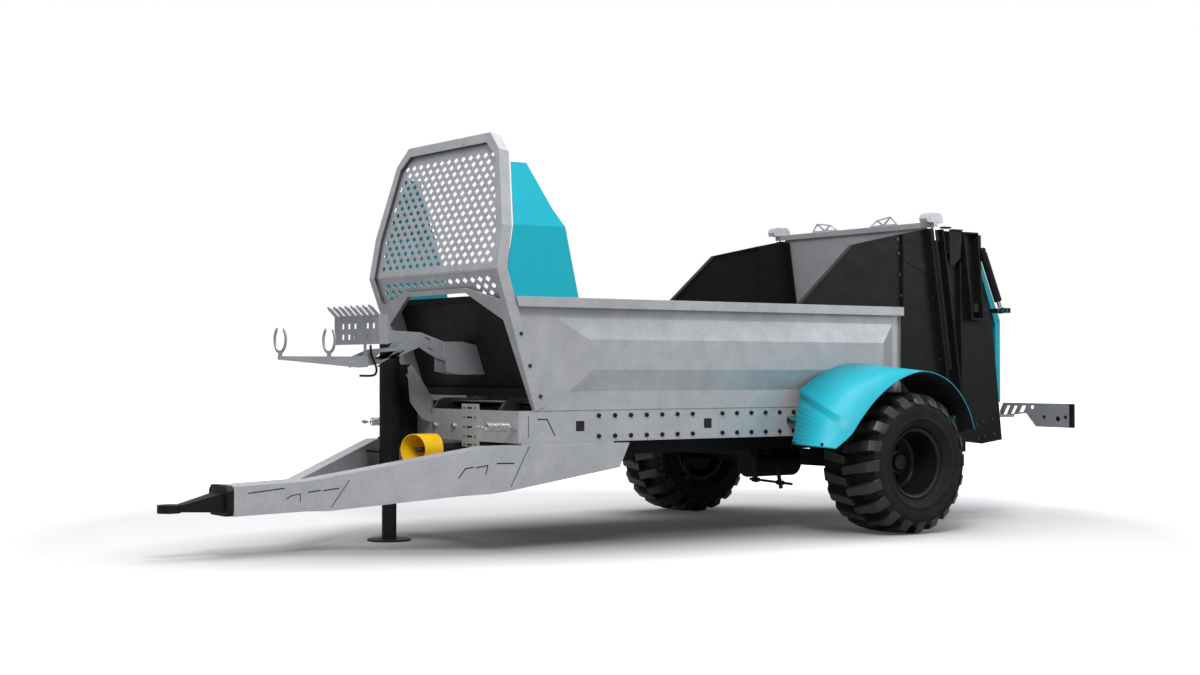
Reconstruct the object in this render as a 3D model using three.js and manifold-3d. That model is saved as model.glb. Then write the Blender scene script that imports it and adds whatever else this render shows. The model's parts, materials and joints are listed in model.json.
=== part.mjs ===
// Towed manure spreader: single axle, A-frame drawbar, galvanised hopper with a scraper floor,
// slide gate, two beaters and two spreading discs under a rear hood.
// Millimetres, +X forward, +Y left, +Z up. The pieces are drawn with the axle at X = 0 and the
// ground at Z = 0; the last group moves them so that X = 0 is the middle of the length.

import * as THREE from 'three';
import { ConvexGeometry } from 'three/addons/geometries/ConvexGeometry.js';
import { mergeVertices } from 'three/addons/utils/BufferGeometryUtils.js';
import Module from 'manifold-3d';

// ---------------------------------------------------------------- driving dimensions

const GAP = 0.3; // between pieces that rest on each other
const PIN_GAP = 0.5; // between a pin or rod and its bore
const RUNNING_GAP = 8; // between pieces that move past each other

// running gear
const OVERALL_WIDTH = 2740;
const TYRE_RADIUS = 465;
const TYRE_WIDTH = 500;
const RIM_RADIUS = 216;
const RIM_WIDTH = 400;
const RIM_LIP = 12; // height of the flange over the bead seat
const RIM_WALL = 12;
const DISH_DEPTH = 228; // from the rim's outer edge to the wheel disc
const AXLE_SIDE = 110;
const DRUM_RADIUS = 150;
const FRAME_LIFT = 20; // spring-less pads between axle and sub-frame

// chassis
const AXLE_TO_RAIL = 173; // axle centre to the underside of the rails
const RAIL_HEIGHT = 192;
const RAIL_HALF_WIDTH = 740; // to the outer faces
const RAIL_FLANGE = 60;
const RAIL_WALL = 8;
const RAIL_FRONT = 2720;
const RAIL_REAR = -1000;
const CROSS_MEMBER_HEIGHT = 50;
const CROSS_MEMBER_WIDTH = 60;
const CROSS_MEMBERS = 5;

// drawbar
const EYE_X = 4585;
const EYE_Z = 291;
const EYE_RADIUS = 66;
const EYE_HOLE = 25;
const EYE_THICKNESS = 46;
const NOSE_FRONT = 4250;
const NOSE_LENGTH = 450;
const NOSE_HALF_WIDTH = 132;
const NOSE_BOTTOM = 240;
const NOSE_HEIGHT = 175;
const BEAM_WIDTH = 120;
const BEAM_HALF_SPREAD = 770; // to the outer faces, under the rails
const BEAM_KINK_X = 2930;
const BEAM_REAR_X = 1925;
const BEAM_DEPTH = 265; // at the kink
const BEAM_TAIL_DEPTH = 150;
const CROSS_TUBE_X = 2800;
const CROSS_TUBE_SIDE = 100;

// support jack
const JACK_X = 3000;
const JACK_Y = -326;
const JACK_TOP = 1244;
const JACK_TUBE_RADIUS = 63;
const JACK_LEG_RADIUS = 46;
const JACK_FOOT_RADIUS = 138;
const JACK_FOOT_HEIGHT = 12;
const JACK_TUBE_BOTTOM = 330;
const STAY_Y = JACK_Y + 36; // outer face of the stay behind the jack

// hopper
const BODY_REAR = -430;
const SIDE_HEIGHT = 680; // rail top to the rim's top edge
const SIDE_HALF_WIDTH = 744.7; // to the outer face of the side sheet
const SHEET = 5;
const RIM_DEPTH = 60;
const RIM_OVERHANG = 45;
const FLOOR_OVER_RAIL = 45;
const FLOOR_SHEET = 7;
const PRESSING_REACH = 45; // how far the pressed panel stands proud
const PRESSING_BEVEL = 130;

// front guard
const FOLD_OVER_RIM = 160;
const FOLD_X = 2900;
const GUARD_HALF_WIDTH = 785;
const GUARD_LOWER_LEAN = 19.1;
const GUARD_UPPER_LEAN = 9;
const GUARD_UPPER_LENGTH = 848;
const GUARD_LOW_KINK = 267; // above the fold
const GUARD_HIGH_KINK = GUARD_UPPER_LENGTH - 113;
const GUARD_SHEET = 6;
const GUARD_FLANGE = 70;
const GUARD_BORDER = 58;
const SCREEN_SHEET = 3;
const ARCH_TOP_HALF = 355;
const ARCH_SHOULDER_HALF = 690;
const WALL_SETBACK = 150;
const WALL_SHEET = 6;

// rear: side plates, gate, hood
const UNIT_LEAN = 9; // the gate and everything behind it lean back going down
const UNIT_HALF_WIDTH = 765; // to the outer faces of the side plates
const UNIT_SHEET = 8;
const POST_DEPTH = 50; // how far the posts stand out from the side plates
const POST_RIBS = [-38, 85]; // distances behind the gate's plane
const POST_WALL = 12;
const CHANNEL_FOOT = [-1212, -1088]; // rear and front faces of the ram's channel
const CHANNEL_HEAD = [-1154, -1000];
const CHANNEL_WALL = 11;
const CHANNEL_LENGTH = 633;
const UNIT_LOWER_EDGE = [[-620, 840], [-1000, 590], [-1073, 560], [-1239, 543], [-1450, 568]];
const UNIT_REAR_EDGE = [[-1381, 1150], [-1345, 1427], [-1240, 1720]];
const GATE_TOP_X = -700;
const GATE_TOP_Z = 2078;
const GATE_SHEET = 6;
const GATE_BEAM = 38;
const GUIDE_REACH = 67;
// latticed handles on the gate's beam, as [distance from the middle, height over the beam]
const HANDLE_SHEET = 5;
const HANDLE_OUTLINE = [[163, 0], [453, 0], [390, 65], [251, 48]];
const HANDLE_WINDOWS = [
  [[192, 10], [286, 10], [251, 38]],
  [[264, 41], [307, 14], [372, 54]],
  [[328, 10], [432, 10], [386, 53]],
];
const ROLLER_PROFILE = [
  [-765, -8], [-612, -8], [-602, 18], [-612, 44], [-636, 58], [-738, 58], [-760, 44], [-768, 16],
];
const GATE_RAM_RADIUS = 22;
const GATE_ROD_RADIUS = 12;
const HOOD_HALF_WIDTH = 660;
const HOOD_HINGE = [-1250, 2050];
const HOOD_BEND = [-1550, 1440];
const HOOD_FOOT = [-1550, 838];
const HOOD_SHEET = 5;
const HOOD_RAM_Y = 800; // outside the side plates
const HOOD_RAM_TOP = [-1210, 1930];
const HOOD_RAM_EYE = [-1406, 1506];
const HOOD_TUBE = 36; // side of the cross tube that carries the rams' clevises
const HOOD_RAM_RADIUS = 28;
const HOOD_ROD_RADIUS = 14;
const HINGE_PIN_RADIUS = 10;
const RAM_PIN_RADIUS = 9;

// beaters and spreading discs
const BEATER_RADIUS = 190;
const BEATER_TUBE_RADIUS = 70;
const BEATERS = { beater_upper: [-1085, 1720], beater_lower: [-1155, 1270] };
const DISC_X = -1310;
const DISC_Y = 385;
const DISC_DROP = 18; // below the underside of the rails
const DISC_RADIUS = 330;
const DISC_THICKNESS = 8;
const VANE_HEIGHT = 45;

// scraper floor
const SCRAPER_FRONT = 2540;
const SCRAPER_REAR = -930;
const SPROCKET_RADIUS = 80;
const CHAIN_THICKNESS = 20;
const CHAIN_WIDTH = 30;
const CHAIN_Y = 400;
const SLAT_PITCH = 350;
const SLAT_HALF_LENGTH = 660;

// driveline
const DRIVE_DROP = 55; // below the underside of the rails
const PTO_GUARD_FRONT = 3054;
const PTO_GUARD_LENGTH = 200;
const PTO_GUARD_CUT = 74; // how much shorter it is on its left side
const PTO_GUARD_RADIUS = 98;

// fenders and lamps
const FENDER_SHEET = 5;
const FENDER_INNER_Y = 790.3;
const FENDER_OUTER_Y = 1365;
const FENDER_NOTCH_Y = 850;
// [distance ahead of the axle, height over it]
const FENDER_INNER_EDGE = [
  [655, 125], [622, 275], [585, 440], [470, 525], [330, 595], [150, 647], [-30, 653],
  [-300, 593], [-500, 435], [-580, 235],
];
const FENDER_OUTER_EDGE = [
  [760, 118], [690, 160], [622, 207], [527, 312], [393, 434], [198, 549], [-40, 603],
  [-284, 527], [-447, 355], [-511, 209],
];
const LAMP_X = -1600;
const LAMP_TIP_Y = 1300;
const LAMP_TOP = 834;
const LAMP_SHEET = 6;
// [distance from the middle, drop from the board's top edge]
const LAMP_OUTLINE = [
  [649, 0], [618, 60], [620, 103], [865, 73], [956, 169], [LAMP_TIP_Y, 171], [LAMP_TIP_Y, 0],
];
const LAMP_WINDOWS = [
  [[650, 87], [682, 85], [716, 22], [688, 22]],
  [[722, 81], [752, 78], [786, 21], [758, 21]],
  [[800, 70], [840, 66], [866, 20], [828, 20]],
];
const LAMP_HOLES = [[924, 29, 14], [1156, 110, 20]]; // distance, drop, radius

// hose rack
const COMB_X = 3385;
const COMB_RIGHT = -318;
const COMB_LEFT = 258;
const COMB_BOTTOM = 1228;
const COMB_TOP = 1405;
const COMB_SHEET = 5;
const FINGERS = 8;
const HOSE_BAR_TOP = 1155;
const CLIP_RADIUS = 82;
const CLIP_WIRE = 16;
const CLIP_XS = [3627, 3942];
const COMB_HOLE_YS = [-206, -127, -48, 111, 186];
const COMB_HOLE_ZS = [1339, 1274];
const ARM_OUTER = 61;
const ARM_SHEET = 6;
const ARM_OUTLINE = [
  [2690, 1110], [2822, 1150], [2987, 1240], [3019, 1208], [3279, 1112], [3425, 1088], [3425, 1150],
  [3300, 1200], [3150, 1212], [3130, 1243], [COMB_X - GAP, 1240], [COMB_X - GAP, 1322], [2998, 1306],
  [2822, 1248], [2690, 1200],
];
const ARM_WINDOWS = [
  [[3105, 1196], [3160, 1156], [3330, 1125], [3275, 1182]],
  [[2925, 1240], [2965, 1258], [2965, 1279], [2925, 1265]],
  [[2838, 1190], [2880, 1212], [2880, 1246], [2838, 1230]],
];
const ARM_HEAD = [1046, 1250]; // heights of the bracket on the front wall
const ARM_HEAD_OUTER = 72;
const HOSE_BAR = [3375, 3430, 3950]; // root, end of the level foot, tip
const HOSE_BAR_WIDTH = 30;

// ---------------------------------------------------------------- derived sizes

const radians = THREE.MathUtils.degToRad;
const WHEEL_Y = OVERALL_WIDTH / 2 - TYRE_WIDTH / 2;
const AXLE_Z = TYRE_RADIUS;
const AXLE_TOP = AXLE_Z + AXLE_SIDE / 2;
const RAIL_Z = AXLE_Z + AXLE_TO_RAIL;
const RAIL_TOP = RAIL_Z + RAIL_HEIGHT;
const DISC_Z = RAIL_Z - DISC_DROP;
const DRIVE_Z = RAIL_Z - DRIVE_DROP;
const RIM_TOP = RAIL_TOP + SIDE_HEIGHT;
const RIM_BOTTOM = RIM_TOP - RIM_DEPTH;
const FLOOR_Z = RAIL_TOP + FLOOR_OVER_RAIL;
const SIDE_INNER = SIDE_HALF_WIDTH - SHEET;
const GUARD_FOOT_HALF_WIDTH = SIDE_HALF_WIDTH + GAP + GUARD_SHEET;
const FOLD_Z = RIM_TOP + FOLD_OVER_RIM;
const SCRAPER_Z = FLOOR_Z + GAP - SPROCKET_RADIUS;
const SLAT_FOOT = 1; // slats clear the floor sheet by this much
const SLAT_HEIGHT = 28;
const OVER_SLATS = FLOOR_Z + SLAT_FOOT + SLAT_HEIGHT + RUNNING_GAP;
const BEAM_TOP = RAIL_Z - 10;
const UNIT_INNER = UNIT_HALF_WIDTH - UNIT_SHEET;
const LEAN_TAN = Math.tan(radians(UNIT_LEAN));
const SIDES = 16; // facets of small round pieces
const WHEEL_SIDES = 36;

/** X of the guard's front face at height z below the fold. */
const guardX = (z) => FOLD_X - (FOLD_Z - z) * Math.tan(radians(GUARD_LOWER_LEAN));
/** X of the gate's middle plane at height z. */
const gateX = (z) => GATE_TOP_X - (GATE_TOP_Z - z) * LEAN_TAN;

// ---------------------------------------------------------------- finishes

const GALVANISED = { color: 0x9fa3a8, roughness: 0.45, metalness: 0.7 };
const BLACK = { color: 0x232425, roughness: 0.5, metalness: 0.1 };
const TEAL = { color: 0x14b2c8, roughness: 0.35, metalness: 0.1 };
const RUBBER = { color: 0x1a1a1b, roughness: 0.85, metalness: 0 };
const YELLOW = { color: 0xf0be14, roughness: 0.4, metalness: 0 };
const CHROME = { color: 0xd0d2d4, roughness: 0.15, metalness: 1 };
const STEEL = { color: 0x55575a, roughness: 0.5, metalness: 0.8 };

// ---------------------------------------------------------------- solids

const wasm = await Module();
wasm.setup();

/** A closed three.js geometry as a solid that can be joined and cut. */
function solid(geometry) {
  const plain = geometry.clone();
  plain.deleteAttribute('normal');
  plain.deleteAttribute('uv');
  const merged = mergeVertices(plain, 1e-3);
  return new wasm.Manifold(new wasm.Mesh({
    numProp: 3,
    vertProperties: new Float32Array(merged.attributes.position.array),
    triVerts: new Uint32Array(merged.index.array),
  }));
}

/** The geometry of a joined or cut solid. */
function geometryOf(shape) {
  const mesh = shape.getMesh();
  const geometry = new THREE.BufferGeometry();
  geometry.setAttribute('position', new THREE.BufferAttribute(mesh.vertProperties, 3));
  geometry.setIndex(new THREE.BufferAttribute(mesh.triVerts, 1));
  return geometry;
}

const join = (...shapes) => shapes.flat().reduce((whole, piece) => whole.add(piece));
const cut = (whole, ...tools) => tools.flat().reduce((left, tool) => left.subtract(tool), whole);

function box(x0, x1, y0, y1, z0, z1) {
  const geometry = new THREE.BoxGeometry(x1 - x0, y1 - y0, z1 - z0);
  return solid(geometry.translate((x0 + x1) / 2, (y0 + y1) / 2, (z0 + z1) / 2));
}

/** A polygon, with polygon holes, drawn along u and v and given its depth along u x v. */
function plate(points, depth, origin, u, v, holes = []) {
  const across = new THREE.Vector3(...u);
  const along = new THREE.Vector3(...v);
  const normal = new THREE.Vector3().crossVectors(across, along);
  const prism = (outline, from, to) => {
    const shape = new THREE.Shape(outline.map(([a, b]) => new THREE.Vector2(a, b)));
    const geometry = new THREE.ExtrudeGeometry(shape, { depth: to - from, bevelEnabled: false });
    const start = new THREE.Vector3(...origin).addScaledVector(normal, from);
    const place = new THREE.Matrix4().makeBasis(across, along, normal).setPosition(start);
    return solid(geometry.applyMatrix4(place));
  };
  return cut(prism(points, 0, depth), holes.map((hole) => prism(hole, -1, depth + 1)));
}

/** A polygon of [x, z] points between y0 and y1. */
const sidePlate = (points, y0, y1, holes) =>
  plate(points, y1 - y0, [0, y1, 0], [1, 0, 0], [0, 0, 1], holes);

/** A polygon of [y, z] points between x0 and x1. */
const crossPlate = (points, x0, x1, holes) =>
  plate(points, x1 - x0, [x0, 0, 0], [0, 1, 0], [0, 0, 1], holes);

/** A polygon of [x, y] points between z0 and z1. */
const levelPlate = (points, z0, z1, holes) =>
  plate(points, z1 - z0, [0, 0, z0], [1, 0, 0], [0, 1, 0], holes);

/** A round bar from a to b. */
function bar(a, b, radius, sides = SIDES) {
  const from = new THREE.Vector3(...a);
  const to = new THREE.Vector3(...b);
  const geometry = new THREE.CylinderGeometry(radius, radius, from.distanceTo(to), sides);
  const turn = new THREE.Quaternion().setFromUnitVectors(
    new THREE.Vector3(0, 1, 0),
    to.clone().sub(from).normalize(),
  );
  geometry.applyQuaternion(turn);
  const middle = from.add(to).multiplyScalar(0.5);
  return solid(geometry.translate(middle.x, middle.y, middle.z));
}

/** Radius of a faceted bore that a round bar turns or slides in. */
const boreFor = (radius, sides = SIDES) => (radius + PIN_GAP) / Math.cos(Math.PI / sides);

/** A round bar from a to b with a round hole, open at both ends. */
function pipe(a, b, outer, inner, sides = SIDES) {
  const along = new THREE.Vector3(...b).sub(new THREE.Vector3(...a)).normalize();
  const before = new THREE.Vector3(...a).sub(along).toArray();
  const after = new THREE.Vector3(...b).add(along).toArray();
  return cut(bar(a, b, outer, sides), bar(before, after, inner, sides));
}

/** The same plate on both sides of the middle. */
const both = (build) => join(build(1), build(-1));

/** A box given by its distances from the middle, on the left (side 1) or right (side -1). */
const sideBox = (side, x0, x1, y0, y1, z0, z1) =>
  (side > 0 ? box(x0, x1, y0, y1, z0, z1) : box(x0, x1, -y1, -y0, z0, z1));

/** A profile of [radius, y] points turned about the Y axis. */
function turned(profile, sides) {
  const points = profile.map(([radius, y]) => new THREE.Vector2(radius, y));
  const geometry = new THREE.LatheGeometry(points, sides);
  return solid(geometry.rotateY(Math.PI / sides));
}

/** The left-hand piece seen in a mirror. */
function mirrored(geometry) {
  const copy = geometry.clone();
  const position = copy.attributes.position;
  for (let i = 0; i < position.count; i += 1) {
    position.setY(i, -position.getY(i));
  }
  const index = copy.index;
  for (let i = 0; i < index.count; i += 3) {
    const first = index.getX(i);
    index.setX(i, index.getX(i + 1));
    index.setX(i + 1, first);
  }
  return copy;
}

// ---------------------------------------------------------------- assembly

const spreader = new THREE.Group();
const machine = new THREE.Group();
spreader.add(machine);

function add(name, shape, finish, parent = machine) {
  const geometry = shape.isBufferGeometry ? shape : geometryOf(shape);
  const mesh = new THREE.Mesh(geometry, new THREE.MeshStandardMaterial(finish));
  mesh.name = name;
  parent.add(mesh);
  return mesh;
}

/** A left-hand piece and its mirror image. */
function addPair(name, shape, finish) {
  const geometry = geometryOf(shape);
  add(`${name}_left`, geometry, finish);
  add(`${name}_right`, mirrored(geometry), finish);
}

// ---------------------------------------------------------------- wheels and axle

function buildTyre() {
  const corner = 1 / Math.cos(Math.PI / WHEEL_SIDES); // flats of the tread touch the ground
  const half = TYRE_WIDTH / 2;
  const bead = RIM_WIDTH / 2 - RIM_WALL - 2;
  const bore = RIM_RADIUS + GAP;
  const tread = TYRE_RADIUS * corner;
  const flank = (bore + tread) / 2;
  const rightHalf = [
    [bore, bead],
    [bore + RIM_LIP + 3, bead],
    [bore + 45, half - 22],
    [flank, half],
    [tread - 40, half - 8],
    [tread, half - 50],
  ];
  const leftHalf = rightHalf.map(([radius, y]) => [radius, -y]).reverse();
  return turned([...rightHalf, ...leftHalf, rightHalf[0]].reverse(), WHEEL_SIDES);
}

function buildRim() {
  const half = RIM_WIDTH / 2;
  const lip = RIM_RADIUS + RIM_LIP;
  const inner = RIM_RADIUS - RIM_WALL;
  const disc = half - DISH_DEPTH;
  const discWall = 12;
  const hubRadius = 85;
  return turned([
    [0, disc],
    [inner, disc],
    [inner, -half],
    [lip, -half],
    [lip, RIM_WALL - half],
    [RIM_RADIUS, RIM_WALL - half],
    [RIM_RADIUS, half - RIM_WALL],
    [lip, half - RIM_WALL],
    [lip, half],
    [inner, half],
    [inner, disc + discWall],
    [hubRadius, disc + discWall],
    [hubRadius, disc + 70],
    [0, disc + 70],
  ], WHEEL_SIDES);
}

function buildWheels() {
  const tyre = geometryOf(buildTyre());
  const rim = geometryOf(buildRim());
  for (const [side, turn, name] of [[1, 0, 'left'], [-1, Math.PI, 'right']]) {
    const wheel = new THREE.Group();
    wheel.position.set(0, side * WHEEL_Y, AXLE_Z);
    wheel.rotation.z = turn;
    machine.add(wheel);
    add(`tyre_${name}`, tyre, RUBBER, wheel);
    add(`rim_${name}`, rim, BLACK, wheel);
  }
}

function buildAxle() {
  const hubFace = WHEEL_Y + RIM_WIDTH / 2 - DISH_DEPTH - GAP;
  const half = AXLE_SIDE / 2;
  const drumInner = hubFace - 130;
  const beam = box(-half, half, -drumInner - 5, drumInner + 5, AXLE_Z - half, AXLE_Z + half);
  const hubs = both((side) => join(
    bar([0, side * drumInner, AXLE_Z], [0, side * (hubFace - 30), AXLE_Z], DRUM_RADIUS, 24),
    bar([0, side * (hubFace - 40), AXLE_Z], [0, side * hubFace, AXLE_Z], 70),
  ));
  add('axle', join(beam, hubs), BLACK);
}

// ---------------------------------------------------------------- chassis

const FRAME_INNER = 420;
const FRAME_OUTER = 500;
const FRAME_REAR = -950;
const FRAME_FRONT = 1900;
const FRAME_BOTTOM = AXLE_TOP + GAP + FRAME_LIFT;

function buildAxleFrame() {
  const top = RAIL_Z - GAP;
  const cross = 40;
  const beams = both((side) =>
    sideBox(side, FRAME_REAR, FRAME_FRONT, FRAME_INNER, FRAME_OUTER, FRAME_BOTTOM, top));
  const pads = both((side) =>
    sideBox(side, -100, 100, FRAME_INNER - 15, FRAME_OUTER + 15, AXLE_TOP + GAP, FRAME_BOTTOM + 5));
  const ties = [-780, 650, 1700].map((x) =>
    box(x, x + 70, -FRAME_OUTER, FRAME_OUTER, FRAME_BOTTOM - cross, FRAME_BOTTOM + GAP));
  add('axle_frame', join(beams, pads, ties), BLACK);
}

function buildChassis() {
  const outer = RAIL_HALF_WIDTH;
  const lip = outer - RAIL_FLANGE;
  const web = outer - RAIL_WALL;
  const channel = (side) => {
    const profile = [
      [outer, RAIL_Z], [outer, RAIL_TOP], [lip, RAIL_TOP], [lip, RAIL_TOP - RAIL_WALL],
      [web, RAIL_TOP - RAIL_WALL], [web, RAIL_Z + RAIL_WALL], [lip, RAIL_Z + RAIL_WALL], [lip, RAIL_Z],
    ];
    return crossPlate(profile.map(([y, z]) => [side * y, z]), RAIL_REAR, RAIL_FRONT);
  };
  const span = RAIL_FRONT - RAIL_REAR - 440;
  const members = Array.from({ length: CROSS_MEMBERS }, (_, i) => {
    const x = RAIL_REAR + 60 + (i * span) / (CROSS_MEMBERS - 1);
    return box(x, x + CROSS_MEMBER_WIDTH, -web - 2, web + 2, RAIL_Z, RAIL_Z + CROSS_MEMBER_HEIGHT);
  });
  const front = join(
    box(RAIL_FRONT - 12, RAIL_FRONT, -outer, outer, RAIL_Z, RAIL_TOP),
    box(RAIL_FRONT - 60, RAIL_FRONT, -web, web, RAIL_Z, RAIL_Z + CROSS_MEMBER_HEIGHT),
  );
  const socketPlate = box(RAIL_FRONT - 1, RAIL_FRONT + 8, 104, 300, RAIL_Z - 36, RAIL_TOP + 36);
  add('chassis_frame', join(both(channel), members, front, socketPlate), GALVANISED);
}

// ---------------------------------------------------------------- drawbar

function buildDrawbar() {
  const noseRear = NOSE_FRONT - NOSE_LENGTH;
  const rise = Math.atan2(BEAM_HALF_SPREAD - NOSE_HALF_WIDTH, noseRear - BEAM_KINK_X);
  const step = BEAM_WIDTH / Math.cos(rise); // the wall's width across Y on the slant
  const insideKink = BEAM_KINK_X - BEAM_WIDTH * Math.tan(rise / 2);
  const innerSpread = BEAM_HALF_SPREAD - BEAM_WIDTH;
  const apexX = noseRear - (step - NOSE_HALF_WIDTH) / Math.tan(rise);
  const noseTop = NOSE_BOTTOM + NOSE_HEIGHT;
  const plan = levelPlate([
    [NOSE_FRONT, -NOSE_HALF_WIDTH], [NOSE_FRONT, NOSE_HALF_WIDTH], [noseRear, NOSE_HALF_WIDTH],
    [BEAM_KINK_X, BEAM_HALF_SPREAD], [BEAM_REAR_X, BEAM_HALF_SPREAD], [BEAM_REAR_X, innerSpread],
    [insideKink, innerSpread], [apexX, 0],
    [insideKink, -innerSpread], [BEAM_REAR_X, -innerSpread], [BEAM_REAR_X, -BEAM_HALF_SPREAD],
    [BEAM_KINK_X, -BEAM_HALF_SPREAD], [noseRear, -NOSE_HALF_WIDTH],
  ], 0, BEAM_TOP + 100);
  const cutBack = BEAM_REAR_X + 75; // foot of the slanted end
  const side = sidePlate([
    [NOSE_FRONT, NOSE_BOTTOM], [NOSE_FRONT, noseTop - 5], [noseRear, noseTop + 10],
    [BEAM_KINK_X, BEAM_TOP], [BEAM_REAR_X, BEAM_TOP], [cutBack, BEAM_TOP - BEAM_TAIL_DEPTH],
    [BEAM_KINK_X - 120, BEAM_TOP - BEAM_DEPTH], [BEAM_KINK_X + 150, BEAM_TOP - BEAM_DEPTH - 25],
    [noseRear - 110, NOSE_BOTTOM + 12],
  ], -BEAM_HALF_SPREAD - 10, BEAM_HALF_SPREAD + 10);
  const tubeBottom = BEAM_TOP - BEAM_DEPTH + 8;
  const tube = box(
    CROSS_TUBE_X - CROSS_TUBE_SIDE / 2, CROSS_TUBE_X + CROSS_TUBE_SIDE / 2,
    -innerSpread - 20, innerSpread + 20, tubeBottom, tubeBottom + CROSS_TUBE_SIDE,
  );
  const pads = both((sign) => sideBox(
    sign, BEAM_REAR_X + 100, RAIL_FRONT - 20, innerSpread + 20, RAIL_HALF_WIDTH,
    BEAM_TOP - 1, RAIL_Z - GAP,
  ));
  add('drawbar', join(plan.intersect(side), tube, pads), GALVANISED);
  return { crossTubeTop: tubeBottom + CROSS_TUBE_SIDE, innerSpread, rise, step, noseRear };
}

function buildTowEye() {
  const flangeBack = NOSE_FRONT + GAP;
  const flangeFront = flangeBack + 40;
  const halfFlange = NOSE_HALF_WIDTH;
  const middle = NOSE_BOTTOM + NOSE_HEIGHT / 2;
  const chamfer = 30;
  const top = middle + NOSE_HEIGHT / 2;
  const bottom = NOSE_BOTTOM;
  const flange = crossPlate([
    [-halfFlange, bottom + chamfer], [chamfer - halfFlange, bottom], [halfFlange - chamfer, bottom],
    [halfFlange, bottom + chamfer], [halfFlange, top - chamfer], [halfFlange - chamfer, top],
    [chamfer - halfFlange, top], [-halfFlange, top - chamfer],
  ], flangeBack, flangeFront);
  const shankTop = EYE_Z + EYE_THICKNESS / 2;
  const shankBottom = EYE_Z - EYE_THICKNESS / 2;
  const neck = EYE_X - EYE_RADIUS * 0.8;
  const profile = sidePlate([
    [flangeFront - 1, middle - 65], [neck, shankBottom + 4], [neck, shankTop - 4],
    [flangeFront - 1, middle + 45],
  ], -80, 80);
  const outline = levelPlate(
    [[flangeFront - 1, -75], [neck, -40], [neck, 40], [flangeFront - 1, 75]],
    0, top + 50,
  );
  const ring = pipe([EYE_X, 0, shankBottom], [EYE_X, 0, shankTop], EYE_RADIUS, EYE_HOLE, 32);
  add('tow_eye', join(flange, profile.intersect(outline), ring), BLACK);
}

function buildJack(drawbar) {
  const at = (z) => [JACK_X, JACK_Y, z];
  const boreRadius = boreFor(JACK_LEG_RADIUS, 24);
  const tube = pipe(at(JACK_TUBE_BOTTOM), at(JACK_TOP - 10), JACK_TUBE_RADIUS, boreRadius, 24);
  const cap = bar(at(JACK_TOP - 11), at(JACK_TOP), JACK_TUBE_RADIUS, 24);
  // bracket to the inner face of the drawbar's right beam
  const reach = JACK_X - BEAM_KINK_X;
  const beamFace = BEAM_HALF_SPREAD - reach * Math.tan(drawbar.rise) - drawbar.step;
  const bracketTop = BEAM_TOP - 45;
  const bracket = [bracketTop - 150, bracketTop - 30].map((z) => levelPlate([
    [JACK_X - 60, JACK_Y - 45], [JACK_X + 60, JACK_Y - 45],
    [JACK_X + 60, -beamFace + 60 * Math.tan(drawbar.rise) + GAP * 1.5],
    [JACK_X - 60, -beamFace - 60 * Math.tan(drawbar.rise) + GAP * 1.5],
  ].reverse(), z, z + 12));
  const bore = bar(at(JACK_TUBE_BOTTOM - 1), at(JACK_TOP - 12), boreRadius, 24);
  // upright web back to the front cross member, outside the stay
  const front = RAIL_FRONT + GAP;
  const webY = JACK_Y - 137;
  const web = sidePlate([
    [front, RAIL_Z - 60], [JACK_X - 40, RAIL_Z - 60], [JACK_X - 40, JACK_TOP - 104],
    [JACK_X - 140, JACK_TOP - 104], [front, RAIL_TOP + 70],
  ], webY - 3, webY + 3);
  const ties = [RAIL_Z, JACK_TOP - 150].map((z) =>
    box(JACK_X - 70, JACK_X + 10, webY - 2, JACK_Y - JACK_TUBE_RADIUS + 5, z, z + 12));
  const clampLow = JACK_TOP - 194;
  const clamp = box(JACK_X - 128, JACK_X - 55, JACK_Y - 20, STAY_Y - GAP, clampLow, clampLow + 60);
  add('jack_tube', join(cut(join(tube, bracket, web, ties, clamp), bore), cap), BLACK);
  const stay = sidePlate([
    [front, RAIL_TOP - 90], [JACK_X - 210, RAIL_TOP - 65], [JACK_X - 126, RAIL_TOP + 42],
    [JACK_X - 115, RAIL_TOP + 158], [JACK_X - 109, clampLow + 45], [JACK_X - 142, clampLow + 54],
    [front + 9, RAIL_TOP + 94], [front, RAIL_TOP + 60],
  ], STAY_Y, STAY_Y + 6);
  add('jack_stay', stay, GALVANISED);
  const leg = bar(at(JACK_FOOT_HEIGHT - 1), at(JACK_TOP - 420), JACK_LEG_RADIUS, 24);
  const foot = bar(at(0), at(JACK_FOOT_HEIGHT), JACK_FOOT_RADIUS, 32);
  add('jack_leg', join(leg, foot), BLACK);
}

// ---------------------------------------------------------------- hopper

/** Everything in front of the guard's lower face, less a setback measured along X. */
function aheadOfGuard(setback) {
  const low = RAIL_Z - 400;
  return sidePlate([
    [guardX(low) - setback, low], [guardX(low) + 3000, low],
    [guardX(low) + 3000, FOLD_Z + 900], [guardX(FOLD_Z + 900) - setback, FOLD_Z + 900],
  ], -1000, 1000);
}

const leanShift = (depth) => depth / Math.cos(radians(GUARD_LOWER_LEAN));

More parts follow.
